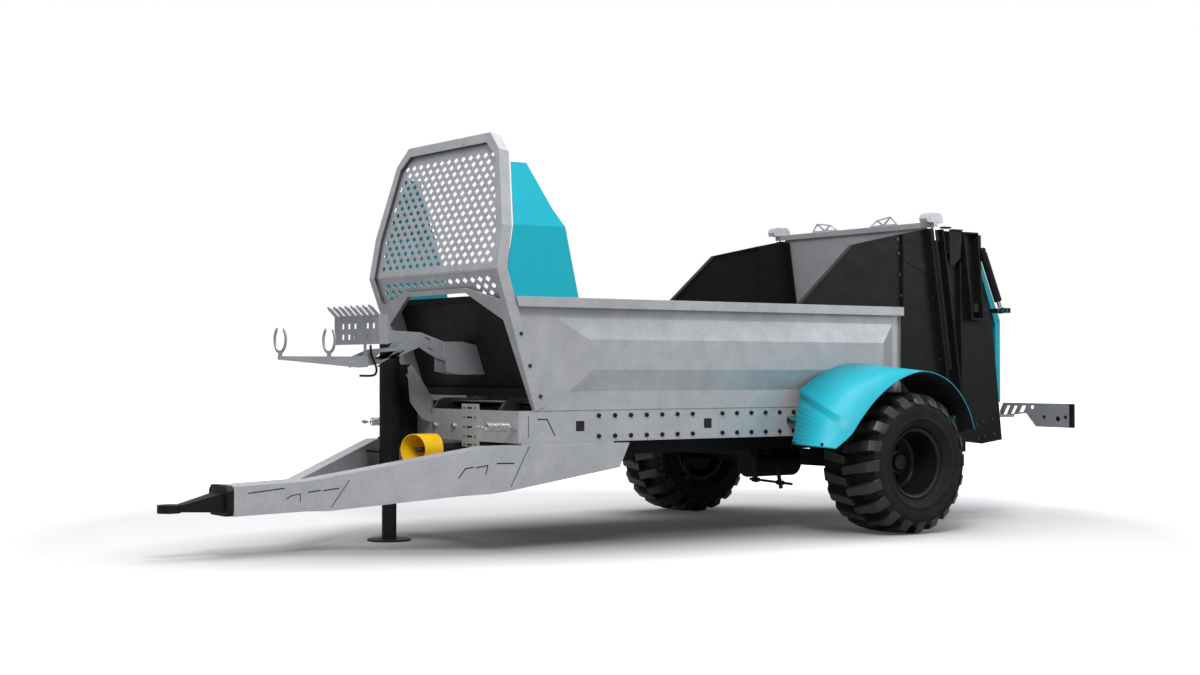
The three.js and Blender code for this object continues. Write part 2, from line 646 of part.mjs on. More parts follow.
function buildHopperSides() {
  const bottom = RAIL_TOP + GAP;
  const long = FOLD_X + 500;
  const sheet = box(BODY_REAR, long, SIDE_INNER, SIDE_HALF_WIDTH, bottom, RIM_TOP);
  const rimOuter = SIDE_HALF_WIDTH + RIM_OVERHANG;
  const wall = SHEET;
  const rim = crossPlate([
    [SIDE_HALF_WIDTH - 1, RIM_TOP - wall], [rimOuter - wall, RIM_TOP - wall], [rimOuter - wall, RIM_BOTTOM],
    [rimOuter, RIM_BOTTOM], [rimOuter, RIM_TOP], [SIDE_HALF_WIDTH - 1, RIM_TOP],
  ], BODY_REAR, long);
  const topEdge = RIM_BOTTOM - RIM_DEPTH;
  const bottomEdge = RAIL_TOP + 115;
  const rearEdge = BODY_REAR + 70;
  const base = [
    [rearEdge, bottomEdge], [guardX(bottomEdge) - 290, bottomEdge],
    [guardX(topEdge) - 345, topEdge], [rearEdge, topEdge],
  ];
  const face = [
    [rearEdge + PRESSING_BEVEL, bottomEdge + PRESSING_BEVEL],
    [guardX(bottomEdge) - 430, bottomEdge + PRESSING_BEVEL],
    [guardX(topEdge) - 560, topEdge - PRESSING_BEVEL],
    [rearEdge + PRESSING_BEVEL, topEdge - PRESSING_BEVEL],
  ];
  const pan = (shift) => solid(new ConvexGeometry([
    ...base.map(([x, z]) => new THREE.Vector3(x, SIDE_INNER - 2 * shift, z)),
    ...base.map(([x, z]) => new THREE.Vector3(x, SIDE_HALF_WIDTH - shift, z)),
    ...face.map(([x, z]) => new THREE.Vector3(x, SIDE_HALF_WIDTH + PRESSING_REACH - shift, z)),
  ]));
  const panel = cut(join(sheet, pan(0)), pan(SHEET), aheadOfGuard(leanShift(GUARD_SHEET + GAP)));
  const trimmedRim = cut(rim, aheadOfGuard(leanShift(GUARD_FLANGE + GAP)));
  addPair('hopper_side', join(panel, trimmedRim), GALVANISED);
}

function buildFloor() {
  const half = SIDE_INNER - GAP;
  const leg = RAIL_HALF_WIDTH - RAIL_FLANGE + 15;
  const foot = RAIL_TOP + GAP;
  const under = FLOOR_Z - FLOOR_SHEET;
  const end = SPROCKET_RADIUS * 0.62; // the sprockets turn past the ends of the sheet
  add('hopper_floor', crossPlate([
    [-half, under], [-leg - 8, under], [-leg - 8, foot], [-leg, foot], [-leg, under],
    [leg, under], [leg, foot], [leg + 8, foot], [leg + 8, under], [half, under],
    [half, FLOOR_Z], [-half, FLOOR_Z],
  ], SCRAPER_REAR + end, SCRAPER_FRONT - end), STEEL);
}

const wallX = (z) => guardX(z) - WALL_SETBACK;

function buildFrontWall() {
  const half = SIDE_INNER - GAP;
  const top = RIM_TOP + 20;
  const sheet = sidePlate([
    [wallX(OVER_SLATS), OVER_SLATS], [wallX(OVER_SLATS) + WALL_SHEET, OVER_SLATS],
    [wallX(top) + WALL_SHEET, top], [wallX(top), top],
  ], -half, half);
  const tube = (z, size) => box(
    wallX(z) + WALL_SHEET / 2, wallX(z) + WALL_SHEET / 2 + size, -half, half, z, z + size,
  );
  add('front_wall', join(sheet, tube(top - 40, 40), tube(OVER_SLATS, 50)), BLACK);
}

// ---------------------------------------------------------------- front guard

const UP = [-Math.sin(radians(GUARD_UPPER_LEAN)), 0, Math.cos(radians(GUARD_UPPER_LEAN))];
const DOWN = [-Math.sin(radians(GUARD_LOWER_LEAN)), 0, -Math.cos(radians(GUARD_LOWER_LEAN))];
const UPPER_NORMAL = [Math.cos(radians(GUARD_UPPER_LEAN)), 0, Math.sin(radians(GUARD_UPPER_LEAN))];
const LOWER_NORMAL = [Math.cos(radians(GUARD_LOWER_LEAN)), 0, -Math.sin(radians(GUARD_LOWER_LEAN))];
const LOWER_LENGTH = (FOLD_Z - RAIL_TOP - GAP) / Math.cos(radians(GUARD_LOWER_LEAN));

/** Half outline of the upper part: [half width, distance above the fold]. */
const UPPER_OUTLINE = [
  [GUARD_HALF_WIDTH, 0],
  [GUARD_HALF_WIDTH - 13, GUARD_LOW_KINK],
  [GUARD_HALF_WIDTH - 163, GUARD_HIGH_KINK],
  [GUARD_HALF_WIDTH - 289, GUARD_UPPER_LENGTH],
];

/** A half outline closed over the middle. */
const whole = (half) => [
  ...half,
  ...half.slice().reverse().map(([y, s]) => [-y, s]),
];

/** A plate on the guard, its face set back by `back` behind the front face. */
function upperPlate(points, depth, back = 0, holes = []) {
  const origin = [FOLD_X, 0, FOLD_Z].map((value, i) => value - UPPER_NORMAL[i] * (back + depth));
  return plate(points, depth, origin, [0, 1, 0], UP, holes);
}

function lowerPlate(points, depth, back = 0, holes = []) {
  const origin = [FOLD_X, 0, FOLD_Z].map((value, i) => value - LOWER_NORMAL[i] * back);
  return plate(points.slice().reverse(), depth, origin, [0, 1, 0], DOWN, holes);
}

/** Outline points moved towards the middle, for the walls of flanges. */
const inset = (points, by) => points.map(([y, s]) => [y - by, s]);

const archS = (z) => (FOLD_Z - z) / Math.cos(radians(GUARD_LOWER_LEAN));
const ARCH = [
  [ARCH_TOP_HALF, archS(RIM_TOP + 30)],
  [ARCH_SHOULDER_HALF, archS(RIM_TOP - 140)],
  [GUARD_FOOT_HALF_WIDTH - 33, LOWER_LENGTH],
];

function buildGuard() {
  const foot = LOWER_LENGTH;
  const lowerHalf = [[GUARD_HALF_WIDTH, 0], [GUARD_FOOT_HALF_WIDTH, foot]];
  const upperWindow = [
    [GUARD_HALF_WIDTH - GUARD_BORDER, -1],
    [GUARD_HALF_WIDTH - GUARD_BORDER - 13, GUARD_LOW_KINK - GUARD_BORDER / 2],
    [GUARD_HALF_WIDTH - GUARD_BORDER - 150, GUARD_HIGH_KINK - GUARD_BORDER / 2],
    [GUARD_HALF_WIDTH - GUARD_BORDER - 262, GUARD_UPPER_LENGTH - GUARD_BORDER],
  ];
  const lowerWindow = [
    [GUARD_HALF_WIDTH - GUARD_BORDER, -1],
    [GUARD_HALF_WIDTH - GUARD_BORDER - 4, ARCH[1][1] - GUARD_BORDER * 2.2],
    [ARCH_TOP_HALF + 15, ARCH[0][1] - GUARD_BORDER / 2],
  ];
  const upper = cut(
    upperPlate(whole(UPPER_OUTLINE), GUARD_SHEET),
    upperPlate(whole(upperWindow), GUARD_SHEET + 2, -1),
  );
  const lower = cut(
    lowerPlate(whole(lowerHalf), GUARD_SHEET),
    lowerPlate(whole(lowerWindow), GUARD_SHEET + 2, -1),
    lowerPlate(whole([...ARCH, [ARCH[2][0], foot + 10]]), GUARD_SHEET + 2, -1),
  );
  const wall = GUARD_SHEET;
  const upperInner = [
    ...inset(UPPER_OUTLINE.slice(0, 3), wall).map(([y, s]) => [y, s === 0 ? -20 : s]),
    [UPPER_OUTLINE[3][0] - 3, GUARD_UPPER_LENGTH - wall],
  ];
  const upperFlange = cut(
    upperPlate(whole(UPPER_OUTLINE), GUARD_FLANGE),
    upperPlate(whole(upperInner), GUARD_FLANGE + 2, -1),
  );
  const lowerInner = inset(lowerHalf, wall).map(([y, s]) => [y, s === 0 ? -20 : s + 20]);
  const lowerFlange = cut(
    lowerPlate(whole(lowerHalf), GUARD_FLANGE),
    lowerPlate(whole(lowerInner), GUARD_FLANGE + 2, -1),
  );
  const lip = 35;
  const archOuter = [
    [ARCH[0][0] + 3, ARCH[0][1] - 5], [ARCH[1][0] + 5, ARCH[1][1] - 4], [ARCH[2][0] + 5, foot],
  ];
  const archLip = cut(
    lowerPlate(whole(archOuter), lip),
    lowerPlate(whole([...ARCH, [ARCH[2][0], foot + 10]]), lip + 2, -1),
  );
  const belowRail = box(0, FOLD_X + 500, -1000, 1000, 0, RAIL_TOP + GAP);
  add('front_guard', cut(join(upper, lower, upperFlange, lowerFlange, archLip), belowRail), GALVANISED);
}

function buildScreen() {
  // set back so that the two sheets clear the guard behind the fold
  const back = (GUARD_SHEET + GAP) / Math.cos(radians(GUARD_UPPER_LEAN + GUARD_LOWER_LEAN));
  const side = GUARD_HALF_WIDTH - GUARD_SHEET - 3;
  const rimLine = archS(RIM_TOP) - 6; // above the hopper's rim
  const between = SIDE_INNER - GAP; // narrower between the hopper's sides
  const upper = upperPlate(whole([
    [side, 0], [side - 13, GUARD_LOW_KINK], [side - 160, GUARD_HIGH_KINK],
    [side - 280, GUARD_UPPER_LENGTH - GUARD_SHEET - 4],
  ]), SCREEN_SHEET, back);
  const lower = lowerPlate(whole([
    [side, 0], [side - 5, rimLine], [between, rimLine], [between, ARCH[1][1] - 40],
    [ARCH[1][0] + 15, ARCH[1][1] - 20], [ARCH[0][0] + 10, ARCH[0][1] - 12],
  ]), SCREEN_SHEET, back);
  add('guard_screen', join(upper, lower), GALVANISED);
}

function buildSidePanels() {
  const outer = (z) => {
    const s = (z - FOLD_Z) / Math.cos(radians(GUARD_UPPER_LEAN));
    return GUARD_HALF_WIDTH - (13 * s) / GUARD_LOW_KINK;
  };
  const kinkZ = FOLD_Z + GUARD_LOW_KINK * Math.cos(radians(GUARD_UPPER_LEAN));
  const topZ = FOLD_Z + GUARD_HIGH_KINK - 85;
  const upperX = (z) => FOLD_X - (z - FOLD_Z) * Math.tan(radians(GUARD_UPPER_LEAN));
  const clear = GUARD_FLANGE + 14;
  const wall = 4;
  const yOut = outer(kinkZ) - GUARD_SHEET;
  const foot = RIM_TOP + GAP;
  const rearFoot = guardX(RIM_TOP) - 540;
  const rearKink = upperX(kinkZ) - 455;
  const lower = sidePlate([
    [rearFoot, foot], [guardX(RIM_TOP) - clear, foot], [FOLD_X - clear, FOLD_Z],
    [upperX(kinkZ) - clear, kinkZ], [rearKink, kinkZ],
  ], yOut - wall, yOut);
  const fall = Math.atan2(150, GUARD_HIGH_KINK - GUARD_LOW_KINK);
  const inward = [0, -Math.sin(fall), Math.cos(fall)];
  const length = (topZ - kinkZ) / Math.cos(fall);
  const frontTop = upperX(topZ) - clear;
  const upper = plate([
    [rearKink, 0], [upperX(kinkZ) - clear, 0], [frontTop, length], [frontTop - 110, length],
    [rearKink + 70, length * 0.28],
  ], wall, [0, yOut, kinkZ], [1, 0, 0], inward);
  // lug that bolts the panel to the guard's flange
  const lug = box(
    FOLD_X - GUARD_FLANGE - 60, FOLD_X - GUARD_FLANGE + 10, yOut - wall - 6, yOut - wall + 1,
    FOLD_Z + 40, FOLD_Z + 120,
  );
  const lugTip = sidePlate([
    [FOLD_X - clear - 20, FOLD_Z + 40], [FOLD_X - 30, FOLD_Z + 40],
    [FOLD_X - 40, FOLD_Z + 120], [FOLD_X - clear - 20, FOLD_Z + 120],
  ], yOut - wall - 6, yOut - 8);
  addPair('side_panel', join(lower, upper, lug, lugTip), TEAL);
}

// ---------------------------------------------------------------- rear side plates

function buildRearExtension() {
  const outer = UNIT_HALF_WIDTH;
  const foot = RIM_TOP + GAP;
  const wall = SHEET;
  const outline = [[514, foot], [27, foot + 417], [BODY_REAR + GAP, foot + 510]];
  const sheet = sidePlate([...outline, [BODY_REAR + GAP, foot]].reverse(), outer - wall, outer);
  const lipInner = outline.map(([x, z], i) => [x - (i === 0 ? 14 : 0), z - (i === 0 ? 0 : 6)]);
  const lip = sidePlate([...outline, ...lipInner.reverse()].reverse(), outer - wall - 35, outer - 1);
  addPair('rear_extension', join(sheet, lip), BLACK);
}

function leanPlate(points, y0, y1) {
  // points are [distance behind the gate plane along X, z]
  return sidePlate(points.map(([back, z]) => [gateX(z) - back, z]), y0, y1);
}

const GATE_GROOVE = GATE_SHEET + 2 * RUNNING_GAP;

function buildUnitSides() {
  const outer = UNIT_HALF_WIDTH;
  const inner = UNIT_INNER;
  const front = BODY_REAR - GAP;
  const railTop = RAIL_TOP + 10;
  const topFront = RIM_TOP + 510;
  const topZ = GATE_TOP_Z - 10;
  const sheet = sidePlate([
    [front, railTop], ...UNIT_LOWER_EDGE, ...UNIT_REAR_EDGE, [HOOD_HINGE[0] + 15, topZ - 22],
    [gateX(topZ) + 20, topZ], [front, topFront],
  ].reverse(), inner, outer);
  const strips = [GATE_GROOVE / 2, -GATE_GROOVE / 2 - 8].map((back) => leanPlate([
    [back, OVER_SLATS], [back, topZ - 10], [back + 8, topZ - 10], [back + 8, OVER_SLATS],
  ], UNIT_INNER - GUIDE_REACH, inner + 1));
  // gate guide post: a channel on the outside, open outwards, round the gate's ram
  const post = POST_RIBS.map((back) => leanPlate([
    [back, RAIL_Z], [back, topZ - 2], [back + POST_WALL, topZ - 2], [back + POST_WALL, RAIL_Z],
  ], outer - 1, outer + POST_DEPTH));
  // channel that carries the hood's ram
  const [headZ, footZ] = [topZ - 10, topZ - CHANNEL_LENGTH];
  const frameOf = (wall) => [
    [CHANNEL_FOOT[0] + wall, footZ + wall], [CHANNEL_FOOT[1] - wall, footZ + wall],
    [CHANNEL_HEAD[1] - wall, headZ - wall], [CHANNEL_HEAD[0] + wall, headZ - wall],
  ];
  const channel = cut(
    sidePlate(frameOf(0), outer - 1, outer + POST_DEPTH),
    sidePlate(frameOf(CHANNEL_WALL), outer, outer + POST_DEPTH + 1),
  );
  const [ramX, ramZ] = HOOD_RAM_TOP;
  const pin = bar([ramX, outer - 1, ramZ], [ramX, HOOD_RAM_Y + 22, ramZ], RAM_PIN_RADIUS);
  const mount = box(
    RAIL_REAR + 20, RAIL_REAR + 320, RAIL_HALF_WIDTH + GAP, inner + 1, RAIL_Z + 60, RAIL_TOP - 20,
  );
  addPair('spreader_side', join(sheet, strips, post, channel, pin, mount), BLACK);
}

function buildTopBeam() {
  const half = UNIT_INNER - GAP;
  const [hingeX, hingeZ] = HOOD_HINGE;
  const beam = box(-1100, -1020, -half, half, hingeZ - 85, hingeZ - 15);
  const ears = [540, 580, -540, -580].map((y) => sidePlate([
    [-1060, hingeZ - 60], [hingeX + 5, hingeZ - 18], [hingeX - 14, hingeZ - 12],
    [hingeX - 14, hingeZ + 12], [hingeX + 5, hingeZ + 18], [-1040, hingeZ - 20],
  ], y - 5, y + 5));
  const pins = [560, -560].map((y) =>
    bar([hingeX, y - 22, hingeZ], [hingeX, y + 22, hingeZ], HINGE_PIN_RADIUS));
  add('rear_top_beam', join(beam, ears, pins), BLACK);
}

// ---------------------------------------------------------------- slide gate

const GATE_UP = [Math.sin(radians(UNIT_LEAN)), 0, Math.cos(radians(UNIT_LEAN))];
const GATE_RAM_Y = UNIT_HALF_WIDTH + 38;

/** A point in the gate's plane: sideways y and height z, moved square to the gate by `ahead`. */
const onGate = (y, z, ahead = 0) => [
  gateX(z) + ahead * Math.cos(radians(UNIT_LEAN)), y, z - ahead * Math.sin(radians(UNIT_LEAN)),
];

function buildGate() {
  const halfSheet = UNIT_INNER - RUNNING_GAP;
  const slant = (z) => (z - OVER_SLATS) / Math.cos(radians(UNIT_LEAN));
  const origin = (ahead) => onGate(0, OVER_SLATS, ahead);
  const top = slant(GATE_TOP_Z);
  const sheet = plate(
    [[-halfSheet, 0], [halfSheet, 0], [halfSheet, top], [-halfSheet, top]],
    GATE_SHEET, origin(-GATE_SHEET / 2), [0, 1, 0], GATE_UP,
  );
  const reach = GATE_RAM_Y + 35;
  const beam = plate(
    [[-reach, top], [reach, top], [reach, top + GATE_BEAM], [-reach, top + GATE_BEAM]],
    GATE_BEAM, origin(-GATE_BEAM / 2), [0, 1, 0], GATE_UP,
  );
  const ribHalf = UNIT_INNER - GUIDE_REACH - RUNNING_GAP;
  const ribs = [0.02, 0.3, 0.58].map((share) => plate(
    [[-ribHalf, top * share], [ribHalf, top * share],
      [ribHalf, top * share + 40], [-ribHalf, top * share + 40]],
    20, origin(-GATE_SHEET / 2 - 19), [0, 1, 0], GATE_UP,
  ));
  // latticed handles on the beam, and a bracket with rollers at each end
  const foot = top + GATE_BEAM - 1;
  const onBeam = (points, side) => {
    const placed = points.map(([y, s]) => [side * y, foot + s]);
    return side > 0 ? placed : placed.reverse();
  };
  const handles = both((side) => plate(
    onBeam(HANDLE_OUTLINE, side), HANDLE_SHEET, origin(-GATE_BEAM / 2), [0, 1, 0], GATE_UP,
    HANDLE_WINDOWS.map((points) => onBeam(points, side)),
  ));
  const beamTop = GATE_TOP_Z + GATE_BEAM * Math.cos(radians(UNIT_LEAN));
  const rollers = both((side) => {
    const [near, far] = [side * (UNIT_HALF_WIDTH + 3), side * reach];
    const profile = ROLLER_PROFILE.map(([x, z]) => [x, beamTop + z]);
    return sidePlate(profile, Math.min(near, far), Math.max(near, far));
  });
  add('slide_gate', join(sheet, beam, ribs, handles, rollers), GALVANISED);
}

function buildGateRams() {
  const top = 1985;
  const bottom = 1080;
  const bore = boreFor(GATE_ROD_RADIUS);
  const barrel = cut(
    bar(onGate(GATE_RAM_Y, bottom), onGate(GATE_RAM_Y, top), GATE_RAM_RADIUS),
    bar(onGate(GATE_RAM_Y, bottom + 25), onGate(GATE_RAM_Y, top + 10), bore),
  );
  const shoe = (z) => cut(
    plate([[UNIT_HALF_WIDTH + GAP, 0], [GATE_RAM_Y, 0], [GATE_RAM_Y, 30], [UNIT_HALF_WIDTH + GAP, 30]],
      30, onGate(0, z, -15), [0, 1, 0], GATE_UP),
    bar(onGate(GATE_RAM_Y, z - 20), onGate(GATE_RAM_Y, z + 60), bore),
  );
  addPair('gate_barrel', join(barrel, shoe(bottom + 60), shoe(top - 90)), BLACK);
  const rodTop = GATE_TOP_Z - GAP;
  const rod = bar(onGate(GATE_RAM_Y, bottom + 40), onGate(GATE_RAM_Y, rodTop), GATE_ROD_RADIUS);
  addPair('gate_rod', rod, CHROME);
}

// ---------------------------------------------------------------- rear hood

function buildHood() {
  const [hingeX, hingeZ] = HOOD_HINGE;
  const half = HOOD_HALF_WIDTH;
  const wall = HOOD_SHEET;
  const roll = 22; // rear clearance of the sheet from the hinge pin
  const line = [
    [hingeX - roll, hingeZ - roll + 5], [HOOD_BEND[0], HOOD_BEND[1]], [HOOD_FOOT[0], HOOD_FOOT[1]],
  ];
  const innerLine = [
    [hingeX - roll + 3, hingeZ - roll], [HOOD_BEND[0] + wall, HOOD_BEND[1] - 3],
    [HOOD_FOOT[0] + wall, HOOD_FOOT[1]],
  ];
  const skin = sidePlate([...line, ...innerLine.reverse()], -half, half);
  const cheek = (side) => sidePlate([
    line[0], line[1], line[2],
    [HOOD_FOOT[0] + 50, HOOD_FOOT[1]], [HOOD_BEND[0] + 50, HOOD_BEND[1] - 30],
    [hingeX - roll + 12, hingeZ - roll - 25],
  ], side > 0 ? half - wall : -half, side > 0 ? half : wall - half);
  const lug = (y) => sidePlate([
    line[0], [hingeX - 18, hingeZ + 16], [hingeX + 18, hingeZ + 16], [hingeX + 18, hingeZ - 16],
    [hingeX - 32, hingeZ - 44],
  ], y - 10, y + 10);
  const bore = (y) => bar(
    [hingeX, y - 20, hingeZ], [hingeX, y + 20, hingeZ], boreFor(HINGE_PIN_RADIUS),
  );
  // clevis arms for the rams, on a cross tube behind the sheet
  const [eyeX, eyeZ] = HOOD_RAM_EYE;
  const [topX, topZ] = line[0];
  const skinX = (z) => topX + ((topZ - z) / (topZ - HOOD_BEND[1])) * (HOOD_BEND[0] - topX) + wall / 2;
  const reach = HOOD_RAM_Y + 30;
  const tubeX = eyeX - 68;
  const tube = box(tubeX, tubeX + HOOD_TUBE, -reach, reach, eyeZ - HOOD_TUBE / 2, eyeZ + HOOD_TUBE / 2);
  const [ribLow, ribHigh] = [eyeZ - 14, eyeZ + 14];
  const ribs = both((side) => sidePlate([
    [skinX(ribLow), ribLow], [tubeX + 1, ribLow], [tubeX + 1, ribHigh], [skinX(ribHigh), ribHigh],
  ], side * 600 - 4, side * 600 + 4));
  const clevis = both((side) => join(...[-24, 24].map((offset) => sidePlate([
    [tubeX + HOOD_TUBE - 1, eyeZ - 17], [tubeX + HOOD_TUBE - 1, eyeZ + 17],
    [eyeX + 15, eyeZ + 15], [eyeX + 15, eyeZ - 15],
  ].reverse(), side * HOOD_RAM_Y + offset - 4, side * HOOD_RAM_Y + offset + 4))));
  const shape = join(skin, both(cheek), lug(560), lug(-560), tube, ribs, clevis);
  add('rear_hood', cut(shape, bore(560), bore(-560)), TEAL);
}

function buildHoodRams() {
  const [topX, topZ] = HOOD_RAM_TOP;
  const [eyeX, eyeZ] = HOOD_RAM_EYE;
  const length = Math.hypot(topX - eyeX, topZ - eyeZ);
  const at = (distance) => [
    topX + ((eyeX - topX) * distance) / length, HOOD_RAM_Y, topZ + ((eyeZ - topZ) * distance) / length,
  ];
  const eyeHalf = 14;
  const bore = boreFor(HOOD_ROD_RADIUS);
  const knuckle = (x, z) => pipe(
    [x, HOOD_RAM_Y - eyeHalf, z], [x, HOOD_RAM_Y + eyeHalf, z], 24, boreFor(RAM_PIN_RADIUS),
  );
  const barrelEnd = length - 75;
  const barrel = cut(
    join(bar(at(20), at(barrelEnd), HOOD_RAM_RADIUS), knuckle(topX, topZ)),
    bar(at(60), at(barrelEnd + 10), bore),
    bar([topX, HOOD_RAM_Y - 40, topZ], [topX, HOOD_RAM_Y + 40, topZ], boreFor(RAM_PIN_RADIUS)),
  );
  addPair('hood_barrel', barrel, BLACK);
  const rod = join(bar(at(100), at(length - 16), HOOD_ROD_RADIUS), knuckle(eyeX, eyeZ));
  addPair('hood_rod', rod, CHROME);
}

// ---------------------------------------------------------------- beaters, discs, table

function buildBeaters() {
  const half = UNIT_INNER - GAP;
  for (const [name, [x, z]] of Object.entries(BEATERS)) {
    const shaft = bar([x, -half, z], [x, half, z], 25);
    const tube = bar([x, -half + 25, z], [x, half - 25, z], BEATER_TUBE_RADIUS);
    const rows = 14;
    const paddles = Array.from({ length: rows }, (_, i) => {
      const y = -half + 70 + (i * (2 * half - 140)) / (rows - 1);
      const turn = (i * Math.PI) / 4;
      const [c, s] = [Math.cos(turn), Math.sin(turn)];
      return plate(
        [[-BEATER_RADIUS, -35], [BEATER_RADIUS, -35], [BEATER_RADIUS, 35], [-BEATER_RADIUS, 35]],
        8, [x, y + 4, z], [c, 0, s], [-s, 0, c],
      );
    });
    add(name, join(shaft, tube, paddles), BLACK);
  }
}

function buildDiscs() {
  for (const [name, side] of [['disc_left', 1], ['disc_right', -1]]) {
    const y = side * DISC_Y;
    const plateTop = DISC_Z + DISC_THICKNESS;
    const disc = bar([DISC_X, y, DISC_Z], [DISC_X, y, plateTop], DISC_RADIUS, 32);
    const hub = bar([DISC_X, y, TABLE_TOP + GAP], [DISC_X, y, plateTop + 60], 45);
    const vanes = [0, 1, 2, 3].map((i) => {
      const turn = (i * Math.PI) / 2;
      const [c, s] = [Math.cos(turn), side * Math.sin(turn)];
      const normal = [-s, c, 0];
      const origin = [DISC_X - normal[0] * 3, y - normal[1] * 3, plateTop - 1];
      // drawn along the radius and up, the vane's thickness follows
      return plate(
        [[40, 0], [DISC_RADIUS - 10, 0], [DISC_RADIUS - 10, VANE_HEIGHT], [40, VANE_HEIGHT]],
        6, [origin[0] + normal[0] * 6, origin[1] + normal[1] * 6, origin[2]], [c, s, 0], [0, 0, 1],
      );
    });
    add(name, join(disc, hub, vanes), STEEL);
  }
}

const TABLE_TOP = DISC_Z - 60;

function buildTable() {
  const cross = box(DISC_X - 80, DISC_X + 80, -DISC_Y - 85, DISC_Y + 85, TABLE_TOP - 90, TABLE_TOP);
  const gearbox = box(DISC_X + 70, FRAME_REAR - 10, -90, 90, TABLE_TOP - 90, DISC_Z - 15);
  const arms = both((side) => sideBox(
    side, DISC_X + 70, FRAME_REAR - GAP, FRAME_INNER + 5, FRAME_OUTER - 5, TABLE_TOP - 60, TABLE_TOP + 40,
  ));
  const bosses = both((side) =>
    bar([DISC_X, side * DISC_Y, TABLE_TOP - 120], [DISC_X, side * DISC_Y, TABLE_TOP - 89], 70));
  add('spreader_table', join(cross, gearbox, arms, bosses), BLACK);
}

// ---------------------------------------------------------------- scraper floor

function buildScraper() {
  const outer = SPROCKET_RADIUS + CHAIN_THICKNESS;
  const racetrack = (radius) => {
    const path = new THREE.Path();
    path.absarc(SCRAPER_FRONT, SCRAPER_Z, radius, -Math.PI / 2, Math.PI / 2, false);
    path.absarc(SCRAPER_REAR, SCRAPER_Z, radius, Math.PI / 2, (3 * Math.PI) / 2, false);
    return path.getPoints(8).map((point) => [point.x, point.y]);
  };
  const axleHalf = RAIL_HALF_WIDTH - RAIL_WALL - GAP;
  const pieces = [SCRAPER_FRONT, SCRAPER_REAR].map((x) =>
    bar([x, -axleHalf, SCRAPER_Z], [x, axleHalf, SCRAPER_Z], 24));
  for (const y of [-CHAIN_Y, CHAIN_Y]) {
    const [y0, y1] = [y - CHAIN_WIDTH / 2, y + CHAIN_WIDTH / 2];
    pieces.push(sidePlate(racetrack(outer), y0, y1, [racetrack(SPROCKET_RADIUS)]));
    for (const x of [SCRAPER_FRONT, SCRAPER_REAR]) {
      pieces.push(bar([x, y0 + 6, SCRAPER_Z], [x, y1 - 6, SCRAPER_Z], SPROCKET_RADIUS + 1, 24));
    }
  }
  const count = Math.floor((SCRAPER_FRONT - SCRAPER_REAR) / SLAT_PITCH);
  const spare = (SCRAPER_FRONT - SCRAPER_REAR - (count - 1) * SLAT_PITCH) / 2;
  for (let i = 0; i < count; i += 1) {
    const x = SCRAPER_REAR + spare + i * SLAT_PITCH;
    const top = FLOOR_Z + SLAT_FOOT;
    const under = SCRAPER_Z - outer + CHAIN_THICKNESS - 2;
    pieces.push(box(x - 25, x + 25, -SLAT_HALF_LENGTH, SLAT_HALF_LENGTH, top, top + SLAT_HEIGHT));
    pieces.push(box(x - 25, x + 25, -SLAT_HALF_LENGTH, SLAT_HALF_LENGTH, under - 20, under));
  }
  add('scraper_floor', join(pieces), STEEL);
}

// ---------------------------------------------------------------- driveline

function buildDriveline(drawbar) {
  const rear = PTO_GUARD_FRONT - PTO_GUARD_LENGTH;
  const wall = 5;
  const at = (x) => [x, 0, DRIVE_Z];
  const cup = cut(
    bar(at(rear), at(PTO_GUARD_FRONT), PTO_GUARD_RADIUS, 32),
    bar(at(rear + 8), at(PTO_GUARD_FRONT + 1), PTO_GUARD_RADIUS - wall, 32),
    levelPlate([
      [PTO_GUARD_FRONT - 6, -PTO_GUARD_RADIUS - 1], [PTO_GUARD_FRONT + 9, -PTO_GUARD_RADIUS - 1],
      [PTO_GUARD_FRONT + 9, PTO_GUARD_RADIUS + 1], [PTO_GUARD_FRONT - PTO_GUARD_CUT, PTO_GUARD_RADIUS + 1],
    ], DRIVE_Z - PTO_GUARD_RADIUS - 1, DRIVE_Z + PTO_GUARD_RADIUS + 1),
  );
  const foot = box(
    CROSS_TUBE_X, rear + 16, -50, 50,
    drawbar.crossTubeTop + GAP, DRIVE_Z - PTO_GUARD_RADIUS + 30,
  );
  const bore = bar(at(rear + 8), at(PTO_GUARD_FRONT + 1), PTO_GUARD_RADIUS - wall, 32);
  add('pto_guard', join(cup, cut(foot, bore)), YELLOW);
  const stub = join(
    bar(at(rear + 8 + GAP), at(rear + 60), 38),
    bar(at(rear + 59), at(PTO_GUARD_FRONT - 60), 18),
  );
  add('input_shaft', stub, STEEL);
  add('drive_tube', bar(at(FRAME_REAR - 10 + GAP), at(rear - GAP), 38), BLACK);
}

// ---------------------------------------------------------------- fenders, lamps, small parts

